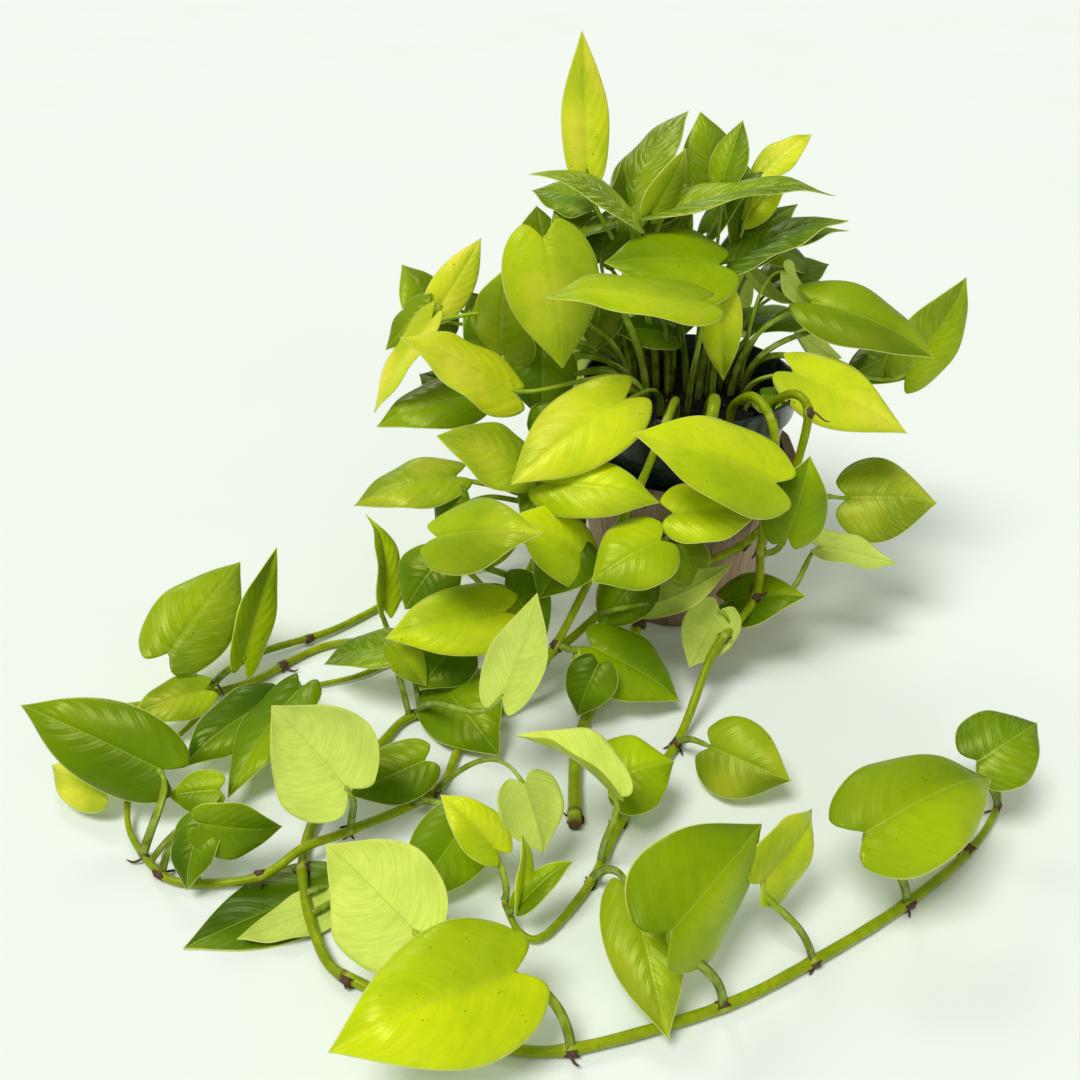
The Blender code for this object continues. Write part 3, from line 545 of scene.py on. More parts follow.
def leaf_material():
    """Waxy lime blade: veins, midrib, pale margin, streaks, specks and a matt pale underside.

    The layer "place" is (share along, share across, centimetres from the midrib), and "edge" is
    (centimetres from the rim, 1 on the underside, share of streaks).
    """
    shader = Shader("pothos_leaf")
    along, across, lateral = shader.split(shader.attribute("place"))
    rim, under, streaks = shader.split(shader.attribute("edge"))
    tint = shader.attribute("tint", "Color")
    place = shader.place()

    lean = shader.times(shader.math("POWER", shader.math("ABSOLUTE", across), VEIN_BEND), VEIN_LEAN)
    phase = shader.times(shader.math("SUBTRACT", along, lean), float(SIDE_VEINS))
    wave = shader.ripple(phase)
    fine = shader.ripple(shader.times(phase, 3.0))
    vein = shader.ramp(wave, 0.0, 0.09, 1.0, 0.0)
    hair = shader.ramp(wave, 0.0, 0.035, 1.0, 0.0)
    middle = shader.ramp(shader.math("ABSOLUTE", lateral), 0.015, 0.06, 1.0, 0.0)
    flow = shader.join(shader.times(phase, 2.2), shader.times(across, 1.3), along)
    flow = shader.vector("ADD", flow, i1=shader.vector("SCALE", place, Scale=9.0))
    threads = shader.noise(flow, 2.2, 5.0, 0.6)
    mottle = shader.noise(place, 55.0, 4.0, 0.55)
    specks = shader.noise(place, 420.0, 1.0, 0.4)

    top = shader.mix(shader.ramp(threads, 0.35, 0.70, 0.0, 0.30), tint,
                     shader.scaled(tint, 1.30, 1.22, 1.4))
    top = shader.mix(shader.ramp(mottle, 0.45, 0.72, 0.0, 0.42), top, shader.scaled(tint, .66, .78, .7))
    top = shader.mix(shader.times(shader.ramp(threads, 0.50, 0.60), streaks), top, (.66, .78, .22, 1))
    top = shader.mix(shader.times(vein, 0.12), top, shader.scaled(tint, 1.35, 1.28, 2.2))
    top = shader.mix(shader.times(hair, 0.25), top, shader.scaled(tint, .70, .80, .8))
    top = shader.mix(shader.times(middle, 0.32), top, (.50, .62, .08, 1))
    top = shader.mix(shader.ramp(specks, 0.76, 0.80, 0.0, 0.75), top, (.09, .07, .012, 1))

    below = shader.mix(shader.ramp(mottle, 0.35, 0.7, 0.0, 0.5), PALE_UNDERSIDE, (.52, .66, .11, 1))
    below = shader.mix(shader.ramp(threads, 0.40, 0.66, 0.0, 0.35), below, (.42, .56, .07, 1))
    below = shader.mix(0.22, below, tint)
    below = shader.mix(shader.times(vein, 0.14), below, (.30, .44, .05, 1))
    below = shader.mix(shader.times(middle, 0.5), below, (.34, .50, .06, 1))

    color = shader.mix(under, top, below)
    color = shader.mix(shader.ramp(rim, 0.03, 0.075, 0.85, 0.0), color, MARGIN)
    gloss = shader.ramp(mottle, 0.3, 0.7, 0.27, 0.37)
    roughness = shader.node("ShaderNodeMix", 0, settings={"data_type": "FLOAT"}, i0=under, i2=gloss, i3=0.6)
    relief = shader.plus(shader.times(wave, 0.8), shader.times(fine, 0.25))
    relief = shader.times(relief, shader.math("SUBTRACT", 1.0, shader.times(under, 0.5)))
    normal = shader.bump(relief, 0.35, 0.0010)
    normal = shader.bump(shader.noise(place, 900.0, 2.0), 0.12, 0.0003, normal)
    return shader.finish(color, roughness, normal, 0.32, GLOSS_TINT)


def stem_material():
    """Smooth green stem with pale node rings. The layer "mark" is (pale, dry, along in centimetres)."""
    shader = Shader("pothos_stem")
    pale, dry, along = shader.split(shader.attribute("mark"))
    place = shader.place()
    streak = shader.ramp(shader.noise(place, 160.0, 4.0), 0.35, 0.7, 0.0, 0.6)
    blotch = shader.ramp(shader.noise(place, 40.0), 0.4, 0.65, 0.0, 0.45)
    scars = shader.ramp(shader.noise(place, 520.0, 2.0), 0.68, 0.74, 0.0, 0.6)
    color = shader.mix(streak, STEM_GREEN, (.46, .53, .008, 1))
    color = shader.mix(blotch, color, (.15, .22, .003, 1))
    color = shader.mix(shader.times(pale, 0.85), color, STEM_PALE)
    color = shader.mix(scars, color, (.10, .075, .02, 1))
    color = shader.mix(dry, color, shader.mix(shader.noise(place, 300.0), DRY_BROWN, (.20, .11, .045, 1)))
    ridges = shader.noise(shader.join(along, 0.0, shader.noise(place, 240.0)), 3.0, 2.0)
    roughness = shader.plus(0.34, shader.times(dry, 0.4))
    return shader.finish(color, roughness, shader.bump(ridges, 0.25, 0.0006), 0.4, GLOSS_TINT)


def stalk_material():
    """Pale leaf stalk with a dry brown edge. The layer "tint" is its green, darkened towards its start as
    painted shade, "edge" is (dry, -, -).
    """
    shader = Shader("pothos_stalk")
    dry = shader.split(shader.attribute("edge"))[0]
    place = shader.place()
    blotch = shader.ramp(shader.noise(place, 120.0), 0.35, 0.7, 0.0, 0.5)
    color = shader.mix(blotch, shader.attribute("tint", "Color"), (.44, .62, .12, 1))
    color = shader.mix(dry, color, shader.mix(shader.noise(place, 300.0), DRY_BROWN, (.20, .11, .04, 1)))
    roughness = shader.plus(0.36, shader.times(dry, 0.35))
    normal = shader.bump(shader.noise(place, 500.0), 0.12, 0.0004)
    return shader.finish(color, roughness, normal, 0.4, GLOSS_TINT)


def root_material():
    """Dark brown bark of the aerial roots and dry scales."""
    shader = Shader("aerial_root")
    place = shader.place()
    color = shader.mix(shader.noise(place, 260.0), DRY_BROWN, (.15, .07, .03, 1))
    return shader.finish(color, 0.75, shader.bump(shader.noise(place, 700.0), 0.5, 0.0005))


def wood_material():
    """Upright grain. The layer "grain" is (centimetres across, height, board), "tint" its colour."""
    shader = Shader("planter_boards")
    across, height, board = shader.split(shader.attribute("grain"))
    tint = shader.attribute("tint", "Color")
    shift = shader.times(board, 7.3)
    slow = shader.join(shader.plus(across, shift), shader.times(height, 0.07), shift)
    warp = shader.noise(slow, 0.8, 2.0)
    threads = shader.join(shader.plus(shader.times(across, 6.0), warp), shader.times(height, 0.16), shift)
    fibres = shader.noise(threads, 1.6, 6.0, 0.65)
    bands = shader.plus(shader.times(warp, 5.0), shader.times(across, 0.7))
    rings = shader.math("SINE", shader.times(bands, 9.0))
    grey = shader.ramp(shader.noise(shader.place(), 30.0, 4.0), 0.5, 0.75, 0.0, 0.35)
    color = shader.mix(shader.ramp(fibres, 0.32, 0.72, 0.0, 0.75), tint, shader.scaled(tint, .52, .46, .42))
    color = shader.mix(shader.ramp(rings, 0.2, 1.0, 0.0, 0.35), color, shader.scaled(tint, .62, .50, .42))
    color = shader.mix(grey, color, (.40, .33, .28, 1))
    color = shader.mix(shader.ramp(height, 0.0, 1.4, 0.45, 0.0), color, (.10, .065, .045, 1))
    normal = shader.bump(shader.plus(fibres, shader.times(rings, 0.15)), 0.5, 0.0012)
    return shader.finish(color, shader.ramp(fibres, 0.3, 0.7, 0.55, 0.75), normal, 0.35)


def pot_material():
    """Glossy moulded plastic with dust and fine scuffs."""
    shader = Shader("pot_gloss")
    place = shader.place()
    dust = shader.ramp(shader.noise(place, 60.0, 5.0, 0.6), 0.48, 0.75, 0.0, 0.35)
    color = shader.mix(dust, (.006, .022, .017, 1), (.045, .060, .048, 1))
    scuffs = shader.noise(shader.vector("MULTIPLY", place, i1=(1.0, 1.0, 14.0)), 120.0, 4.0)
    roughness = shader.ramp(scuffs, 0.35, 0.75, 0.16, 0.38)
    return shader.finish(color, roughness, shader.bump(scuffs, 0.06, 0.0004))


def soil_material():
    """Dark crumbs. The layer "tint" holds each crumb's colour."""
    shader = Shader("potting_mix")
    place = shader.place()
    tint = shader.attribute("tint", "Color")
    damp = shader.ramp(shader.noise(place, 500.0, 4.0), 0.35, 0.7, 0.0, 0.7)
    color = shader.mix(damp, tint, shader.scaled(tint, .45, .42, .40))
    normal = shader.bump(shader.noise(place, 700.0, 5.0, 0.7), 0.8, 0.0012)
    return shader.finish(color, 0.88, normal, 0.3)


def floor_material():
    """A matt pale floor, very slightly uneven in tone."""
    shader = Shader("studio_floor")
    shade = shader.ramp(shader.noise(shader.place(), 3.0), 0.3, 0.7, 0.0, 1.0)
    color = shader.mix(shade, (.870, .925, .870, 1), (.885, .935, .885, 1))
    return shader.finish(color, 0.9, None, 0.1)


# ---------------------------------------------------------------- leaves

def half_width(share):
    """Half the blade's width as a share of its greatest half width, drawn in towards the tip."""
    return 2.07 * (share + 0.03) ** 0.4 * (1 - share) ** 0.8 * (1 - TIP_DRAW * share ** 5)


def lobe_sweep(share, place):
    """How far a point across the blade lies behind the midrib's, as a share of the blade's length."""
    return LOBE * (1 - share) ** 3.5 * np.sin(2.1 * np.abs(place))


def leaf_tint(tone, yellow, along, across, draw):
    """Colour over the blade: the leaf's tone, paler yellow towards the tip and rim, one half duller."""
    drift = 0.09 * np.sin(along * 5 + draw[0]) + 0.07 * np.sin(across * 3 + draw[1]) * along
    duller = 0.08 * np.where(across > 0, 1, -1) * (1 if draw[2] > 3.1 else -1)
    duller = duller * smooth_step(0.0, 0.2, np.abs(across))
    level = np.clip(tone + drift + duller, 0.0, 1.0) * (len(TONES) - 1)
    color = np.stack([np.interp(level, np.arange(len(TONES)), channel) for channel in TONES.T], -1)
    patch = np.sin(along * 6 + draw[3]) * np.cos(across * 2.4 + draw[4]) + along - 0.4
    share = np.clip(yellow * (0.35 + 0.65 * smooth_step(-0.2, 1.0, patch)), 0, 1)[..., None]
    color = color * (1 - share) + YELLOW * share
    return np.concatenate([color, np.ones(color.shape[:2] + (1,))], -1)


def facing(base, tip, turn):
    """The blade's length, its way forward, its upper side's normal and its way sideways."""
    length = np.linalg.norm(tip - base)
    forward = (tip - base) / length
    up = unit(LIGHT - forward * LIGHT.dot(forward))
    side = np.cross(forward, up)
    angle = math.radians(turn)
    return (length, forward, up * math.cos(angle) + side * math.sin(angle),
            side * math.cos(angle) - up * math.sin(angle))


def blade_lift(along, across, half, length, arch, fold, draw):
    """How far the blade's middle sheet lies above the straight line from base to tip."""
    reach = np.abs(across)
    lift = half * (np.sqrt(reach ** 2 + 0.03) - math.sqrt(0.03)) * math.sin(math.radians(fold))
    lift -= RIM_DROOP * half * reach ** 2.6
    lift += length * (arch + 0.02 + 0.02 * np.sin(draw[9])) * 4 * along * (1 - along)
    waves = along * (1.6 + 0.5 * np.sin(draw[6]))
    lift += RIM_WAVE * half * reach ** 2.5 * np.sin(2 * np.pi * waves + draw[7] + 1.7 * np.sign(across))
    lift -= TIP_DIP * length * smooth_step(TIP_START, 1.0, along) * (1 + np.sin(draw[8]))
    return lift


def blade_quilt(along, across, length, draw):
    """Swellings between the side veins, and small dents."""
    reach = np.abs(across)
    phase = (along - VEIN_LEAN * reach ** VEIN_BEND) * SIDE_VEINS
    fade = smooth_step(0.05, 0.25, reach) * smooth_step(1.0, 0.8, reach) * smooth_step(1.0, 0.8, along)
    quilt = QUILTING * fade * np.cos(2 * np.pi * phase) * min(1.0, length / FULL_QUILT_LENGTH)
    quilt *= (0.5 + 0.3 * np.sin(draw[6])) * (1 + 0.5 * np.sin(4 * along + 2 * across + draw[5]))
    return quilt + RIM_ROUGHNESS * reach * np.sin(9 * along + draw[4]) * np.sin(5 * across + draw[3])


def blade(row, draw, streaks):
    """A blade's top and underside points, both sides' layers, and the shares along and across."""
    base, tip, width, turn, arch, fold = row
    base, tip = np.array(base, float), np.array(tip, float)
    length, forward, up, side = facing(base, tip, turn)

    along = np.linspace(0, 1, BLADE_ROWS) ** 1.12 * 0.999
    across = np.linspace(-1, 1, BLADE_COLUMNS)
    across = np.sign(across) * np.abs(across) ** 1.15
    along, across = np.meshgrid(along, across, indexing="ij")
    reach = np.abs(across)
    half = width / 2 * FULLNESS * half_width(along)
    lateral = half * across
    sideways = lateral * math.cos(math.radians(fold)) + SIDE_BEND * np.sin(draw[5]) * length * along ** 3
    lift = blade_lift(along, across, half, length, arch, fold, draw)
    quilt = blade_quilt(along, across, length, draw)
    groove = MIDRIB_GROOVE * np.exp(-(lateral / GROOVE_WIDTH) ** 2) * smooth_step(1.0, 0.75, along)
    rib = 0.9 * MIDRIB_GROOVE * np.exp(-(lateral / RIB_WIDTH) ** 2) * smooth_step(1.0, 0.6, along)
    thickness = BLADE_THICKNESS * (0.5 + 0.5 * smooth_step(1.0, 0.85, reach))
    back = length * lobe_sweep(along, across)
    body = base + forward * (length * along - back)[..., None] + side * sideways[..., None]
    top = body + up * (lift + quilt - groove)[..., None]
    below = body + up * (lift + 0.8 * quilt - thickness - rib - groove * 0.5)[..., None]
    sunk = np.maximum(0, FLOOR_CLEARANCE - np.minimum(top[..., 2], below[..., 2]))
    top[..., 2] += sunk
    below[..., 2] += sunk

    rim = np.minimum(half * (1 - reach), along * length + back * 0.5 + 0.02)
    place = np.stack([along, across, lateral], -1)
    edges = [np.stack([rim, np.full_like(rim, under), np.full_like(rim, streaks)], -1) for under in (0, 1)]
    return top, below, place, edges, along, across


def stalk_curve(start, rise, neck, arrival, share):
    """Points on a smooth curve that leaves start along rise and reaches the neck along arrival."""
    reach = np.linalg.norm(neck - start)
    first = start + rise * reach * 0.58
    second = neck - arrival * reach * 0.3
    left = 1 - share
    return (start * left ** 3 + first * 3 * left ** 2 * share
            + second * 3 * left * share ** 2 + neck * share ** 3)


def build_leaf(name, row, looks, start, rise, materials, replaced=()):
    """One leaf: blade, rim, and the stalk with its sheath."""
    tone, yellow, streaks = looks
    draw = random.uniform(0, 2 * math.pi, 10)
    top, below, place, edges, along, across = blade(row, draw, streaks)
    tint = leaf_tint(tone, yellow, along, across, draw)
    builder = Builder(("place", "edge", "tint"))
    builder.add(np.concatenate([top.reshape(-1, 3), below.reshape(-1, 3)]),
                blade_faces(*top.shape[:2]), 0,
                place=np.concatenate([place.reshape(-1, 3)] * 2),
                edge=np.concatenate([edge.reshape(-1, 3) for edge in edges]),
                tint=np.concatenate([tint.reshape(-1, 4)] * 2))
    add_stalk(builder, row, start, rise, tone)
    return add_piece(name, builder.mesh(name), materials, replaced)


def blade_faces(rows, columns):
    """Top, underside and the strip that joins them round the rim."""
    count = rows * columns
    faces = grid_faces(rows, columns).tolist()
    faces += grid_faces(rows, columns, first=count, flip=True).tolist()
    ring = list(range(columns))
    ring += [row * columns + columns - 1 for row in range(1, rows)]
    ring += [(rows - 1) * columns + column for column in range(columns - 2, -1, -1)]
    ring += [row * columns for row in range(rows - 2, 0, -1)]
    for here, there in zip(ring, ring[1:] + ring[:1]):
        faces.append([there, here, here + count, there + count])
    return faces


def add_stalk(builder, row, start, rise, tone):
    """A channelled stalk that thickens to a knee under the blade, with dry edges along its sheath, and
    painted shade that darkens its green towards its start.
    """
    base = np.array(row[0], float)
    length, forward, up, _ = facing(base, np.array(row[1], float), row[3])
    heading = unit(base - start)
    lift = 0.7 if heading.dot(up) > 0 else 0.1
    arrival = unit(forward * 0.8 + up * lift + heading * 0.3)
    end = base - up * 0.07 + forward * 0.25
    shares = np.linspace(0, 1, STALK_ROWS)[:, None]
    centres = stalk_curve(start - rise * 0.25, rise, end, arrival, shares)
    share = shares[:, 0]
    knee = smooth_step(0.86, 0.95, share) * smooth_step(1.0, 0.97, share)
    radii = STALK_RADIUS - STALK_TAPER * share + KNEE * knee
    radii = radii * min(1.0, 0.55 + length / 20) * np.where(share > 0.99, 0.5, 1.0)
    turns = 2 * np.pi * np.arange(STALK_SIDES) / STALK_SIDES
    channel = np.exp(-((turns - np.pi / 2) / 0.4) ** 2)
    wings = np.exp(-((np.abs(turns - np.pi / 2) - 0.9) / 0.3) ** 2)
    sheath_end = 0.9 if start[2] < SOIL_HEIGHT - 1 else 0.55
    sheath = smooth_step(sheath_end, sheath_end - SHEATH_WIDTH, share)[:, None]
    shape = 1 - 0.3 * channel[None, :] + 0.9 * wings[None, :] * sheath
    rings = tube_points(centres, radii, up, shape)
    rings[..., 2] = np.maximum(rings[..., 2], FLOOR_CLEARANCE)
    dry = (wings[None, :] > 0.6) * sheath * (0.5 + 0.5 * np.sin(share * 31 + length)[:, None])
    green = [np.interp(0.35 + 0.5 * tone, np.linspace(0, 1, len(TONES)), channel) for channel in TONES.T]
    green = np.array(green) * 0.6 + np.array(STALK_GREEN[:3]) * 0.4
    # painted shade: the stalk's green is darker towards where it starts, low under the leaves
    shade = 0.5 + 0.5 * smooth_step(0.0, 0.6, share)
    tint = np.concatenate([shade[:, None] * green, np.ones((STALK_ROWS, 1))], 1)
    builder.add(rings, tube_faces(STALK_ROWS, STALK_SIDES, flip=True), 1,
                place=(0.5, 0.0, 1.0), edge=np.stack([dry, dry * 0, dry * 0], -1).reshape(-1, 3),
                tint=np.repeat(tint, STALK_SIDES, axis=0))


# ---------------------------------------------------------------- stems

def curve_point(route, place):
    """A point on the smooth curve through the route, at a place counted in route points."""
    last = len(route) - 1
    index = min(int(place), last - 1)
    share = place - index
    before, start, end, after = (np.array(route[max(0, min(last, index + step))])
                                 for step in (-1, 0, 1, 2))
    return 0.5 * (2 * start + (end - before) * share
                  + (2 * before - 5 * start + 4 * end - after) * share ** 2
                  + (3 * start - before - 3 * end + after) * share ** 3)


def curve_direction(route, place, step=0.02):
    """The way that the curve runs at a place."""
    last = len(route) - 1
    return unit(curve_point(route, min(last, place + step)) - curve_point(route, max(0, place - step)))


def stalk_start(stem, origin, base):
    """Where a leaf's stalk leaves the soil or its vine, and in which direction."""
    if stem == "crown":
        return np.array((*origin, SOIL_HEIGHT + 0.05)), np.array((0.0, 0.0, 1.0))
    radius, route = VINES[stem]
    centre = curve_point(route, origin)
    direction = curve_direction(route, origin)
    wish = unit(np.array(base) - centre) + np.array((0, 0, 0.6))
    rise = unit(wish - direction * wish.dot(direction))
    return centre + rise * radius * 0.9, rise


def nearest_start(base):
    """A start for a filler's stalk: the nearest stem point below it, or the soil for the high ones."""
    base = np.array(base, float)
    away = math.hypot(base[0], base[1])
    if base[2] > CROWN_HEIGHT and away < CROWN_REACH:
        foot = base[:2] * min(1.0, CROWN_FOOT / max(CROWN_FOOT, away))
        return np.array((foot[0], foot[1], SOIL_HEIGHT)), np.array((0.0, 0.0, 1.0))
    best = None
    for stem, (_, route) in VINES.items():
        for place in np.arange(2.5, len(route) - 1, 0.2):
            point = curve_point(route, place)
            cost = np.linalg.norm(point - base) + (2.0 if point[2] > base[2] else 0.0)
            if best is None or cost < best[0]:
                best = (cost, stem, place)
    return stalk_start(best[1], best[2], base)


def node_places(stem, route):
    """Distances along a stem where leaves grow, with more nodes between those far apart."""
    places = sorted({float(row[0]) for row in LEAVES.get(stem, ())} | {3.0, float(len(route) - 1) - 0.2})
    filled = []
    for here, there in zip(places, places[1:]):
        gap = np.linalg.norm(curve_point(route, there) - curve_point(route, here))
        steps = max(1, round(gap / NODE_SPACING))
        filled += [here + (there - here) * step / steps for step in range(steps)]
    return filled + places[-1:]


def stem_steps(route):
    """Places about STEM_STEP apart along the whole route."""
    places = []
    for index in range(len(route) - 1):
        gap = np.linalg.norm(np.array(route[index + 1]) - np.array(route[index]))
        places.append(np.linspace(index, index + 1, max(2, int(gap / STEM_STEP)), endpoint=False))
    return np.concatenate(places + [[len(route) - 1.0]])


def build_stem(name, radius, route, materials):
    """A stem with swollen pale nodes, hooked aerial roots and dry scales, tapering to its end."""
    cut = name == "vine_cut"
    places = stem_steps(route)
    centres = np.array([curve_point(route, place) for place in places])
    centres[:, 2] = np.maximum(centres[:, 2], radius * STEM_FULLNESS)
    steps = np.linalg.norm(np.diff(centres, axis=0), axis=1)
    travelled = np.concatenate([[0], np.cumsum(steps)])
    whole = travelled[-1]
    nodes = np.interp(node_places(name, route), places, travelled)
    gaps = travelled[:, None] - nodes[None, :]
    swelling = np.exp(-(gaps / NODE_LENGTH) ** 2).sum(1)
    ring = np.exp(-((gaps - 0.05) / RING_LENGTH) ** 2).sum(1)
    taper = 1.0 if cut else 1 - STEM_TAPER * smooth_step(whole - TAPER_LENGTH, whole, travelled)
    wander = 1 + 0.03 * np.sin(travelled * 1.9 + radius * 40)
    radii = radius * STEM_FULLNESS * taper * wander * (1 + NODE_SWELLING * swelling - RING_DEPTH * ring)
    radii[-1] *= 0.97 if cut else 0.35
    rings = tube_points(centres, radii, np.array((1.0, 0.2, 0.0)))
    rings[..., 2] = np.maximum(rings[..., 2], FLOOR_CLEARANCE)
    cut_end = np.exp(-((travelled - whole) / 0.3) ** 2) * cut
    dry = np.clip(cut_end + 0.8 * np.exp(-((gaps + 0.16) / 0.07) ** 2).sum(1), 0, 1)
    marks = np.stack([np.clip(ring, 0, 1), dry, travelled], -1)
    builder = Builder(("mark",))
    builder.add(rings, tube_faces(len(rings), STALK_SIDES, flip=True), 0,
                mark=np.repeat(marks, STALK_SIDES, axis=0))
    for node in nodes:
        index = int(np.argmin(np.abs(travelled - node)))
        if 2 < index < len(centres) - 2:
            add_node_growth(builder, centres[index], unit(centres[index + 1] - centres[index - 1]),
                            radii[index], random.uniform(0, 1, 6))
    return add_piece(f"stem_{name[5:]}", builder.mesh(name), materials, (name,))


def add_node_growth(builder, centre, direction, radius, draw):
    """One or two hooked aerial roots and a torn dry scale at a node."""
    level = unit(np.cross(direction, np.array((0.01, 0.02, 1.0))))
    for side in (-1, 1)[: 1 + (draw[0] > 0.8)]:
        side = side if draw[5] > 0.5 else -side
        wish = level * side * (0.5 + 0.5 * draw[1]) + np.array((0, 0, 0.1 - 1.0 * draw[2]))
        reach = 0.4 + 1.6 * draw[3] ** 2.5
        share = np.linspace(0, 1, ROOT_ROWS)
        centres = centre + unit(wish) * (radius * 0.6 + reach * share)[:, None]
        centres = centres + np.outer((draw[4] - 0.5) * 2.4 * reach * share ** 2, direction)
        curl = 0.7 * reach * (share ** 4 - 0.8 * share ** 2)
        centres[:, 2] = np.maximum(centres[:, 2] + curl, ROOT_CLEARANCE)
        radii = (ROOT_RADIUS - 0.03 * draw[3] ** 3) * (1 - 0.45 * share ** 2)
        radii[-1] *= 0.5
        rings = tube_points(centres, radii, direction)
        builder.add(rings, tube_faces(len(rings), STALK_SIDES, flip=True), 1, mark=(0.0, 1.0, 0.0))
    turns = np.linspace(-1.6, 1.6, SCALE_COLUMNS) + draw[5] * 6.28
    upright = unit(np.cross(direction, level))
    around = (np.outer(np.cos(turns), level) + np.outer(np.sin(turns), upright)) * radius
    tear = 1 + 0.35 * np.sin(turns * 5 + draw[2] * 6)
    outer = np.array([centre + np.outer(step * tear, direction) + around * flare
                      for step, flare in ((-0.30, 1.02), (0.0, 1.14), (0.28 + 0.2 * draw[1], 1.34))])
    inner = centre + (outer - centre) * 0.95
    points = np.concatenate([outer.reshape(-1, 3), inner.reshape(-1, 3)])
    points[:, 2] = np.maximum(points[:, 2], FLOOR_CLEARANCE)
    builder.add(points, blade_faces(3, SCALE_COLUMNS), 1, mark=(0.0, 1.0, 0.0))


# ---------------------------------------------------------------- planter, pot and soil

def planter_radius(height):
    """The planter's outer radius at a height above its foot."""
    return PLANTER_FOOT_RADIUS + (PLANTER_RIM_RADIUS - PLANTER_FOOT_RADIUS) * height / PLANTER_HEIGHT


def stave_outline(outer, ends):
    """A stave's section, as (sideways, outwards): three points to each rounded outer edge."""
    half = outer * math.tan(math.pi / STAVES) - STAVE_JOINT
    inner = outer - STAVE_THICKNESS
    inner_half = inner * math.tan(math.pi / STAVES) - STAVE_JOINT
    face = outer - ends
    corner = STAVE_BEVEL * 0.3
    return ((-half + STAVE_BEVEL, face), (0.0, face + 0.02), (half - STAVE_BEVEL, face),
            (half - corner, face - corner), (half, face - STAVE_BEVEL),
            (inner_half, inner), (-inner_half, inner),
            (-half, face - STAVE_BEVEL), (-half + corner, face - corner))


def build_planter(material):
    """Sixteen bevelled staves, each with its own tone, that meet in dark joints."""
    builder = Builder(("grain", "tint"))
    heights = (0.0, 0.12, 4.5, 9.0, PLANTER_HEIGHT - 0.14, PLANTER_HEIGHT)
    for stave in range(STAVES):
        turn = 2 * math.pi / STAVES * stave
        outwards = np.array((math.cos(turn), math.sin(turn), 0.0))
        level = np.array((-math.sin(turn), math.cos(turn), 0.0))
        rings, grain = [], []
        for number, height in enumerate(heights):
            ends = 0.10 if number in (0, len(heights) - 1) else 0.0
            outline = stave_outline(planter_radius(height) * math.cos(math.pi / STAVES) + 0.06, ends)
            rings.append([outwards * reach + level * shift + np.array((0, 0, height))
                          for shift, reach in outline])
            grain += [(shift, height, stave) for shift, _ in outline]
        tone = STAVE_TONES[stave * 7 % len(STAVE_TONES)] * (0.92 + 0.16 * random.random())
        builder.add(np.array(rings), tube_faces(len(rings), len(outline)), 0,
                    grain=np.array(grain, float), tint=(*tone, 1.0))
    piece = add_piece("planter_staves", builder.mesh("planter_staves"), (material,),
                      ("planter_wall",))
    piece.data.set_sharp_from_angle(angle=math.radians(35))


def turned(profile, sides):
    """Rings round +Z, one for each (radius, height) of the profile."""
    turns = 2 * np.pi * np.arange(sides) / sides
    return np.array([[(radius * math.cos(turn), radius * math.sin(turn), height) for turn in turns]
                     for radius, height in profile])


def build_pot(material):
    """The thin pot with its folded lip, turned from a profile that runs round on itself."""
    low, high, wall, sides = POT_FLOOR_HEIGHT, POT_RIM_HEIGHT, POT_WALL, 96
    neck = high - POT_LIP_DEPTH
    lip = ((0.22, neck + 0.02), (0.10, neck + 0.10), (0.05, neck + 0.30), (0.03, high - 0.30),
           (0.0, high - 0.16), (0.03, high - 0.05), (0.12, high), (0.22, high - 0.03),
           (0.28, high - 0.12), (0.32, neck + 0.4))
    profile = (
        (DRAIN_RADIUS, low), (POT_FOOT_RADIUS - 0.3, low), (POT_FOOT_RADIUS, low + 0.3),
        (POT_NECK_RADIUS, neck),
        *((POT_RIM_RADIUS - inwards, height) for inwards, height in lip),
        (POT_NECK_RADIUS - wall, neck - 0.2), (POT_FOOT_RADIUS - wall, low + 0.3 + wall),
        (POT_FOOT_RADIUS - 0.3 - wall, low + wall), (DRAIN_RADIUS, low + wall))
    faces = grid_faces(len(profile), sides, wrap=True).tolist()
    last = (len(profile) - 1) * sides
    faces += [[last + side, last + (side + 1) % sides, (side + 1) % sides, side] for side in range(sides)]
    mesh = make_mesh("pot_shell", turned(profile, sides).reshape(-1, 3), faces)
    mesh.set_sharp_from_angle(angle=math.radians(50))
    add_piece("pot_shell", mesh, (material,), ("nursery_pot",))


def build_floor_board(material):
    """The planter's floor, a round board of its own."""
    inner, sides, number = PLANTER_FOOT_RADIUS - STAVE_THICKNESS - 0.15, 64, 30
    profile = ((0.001, 0.02), (inner, 0.02), (inner + 0.05, 0.1), (inner + 0.2, 1.5),
               (inner + 0.12, 1.58), (0.001, 1.58))
    rings = turned(profile, sides)
    grain = np.stack([rings[..., 0], rings[..., 1], np.full_like(rings[..., 2], number)], -1)
    builder = Builder(("grain", "tint"))
    builder.add(rings, tube_faces(len(profile), sides), 0, grain=grain.reshape(-1, 3),
                tint=(.38, .26, .18, 1.0))
    piece = add_piece("planter_board", builder.mesh("planter_board"), (material,),
                      ("planter_floor",))
    piece.data.set_sharp_from_angle(angle=math.radians(40))


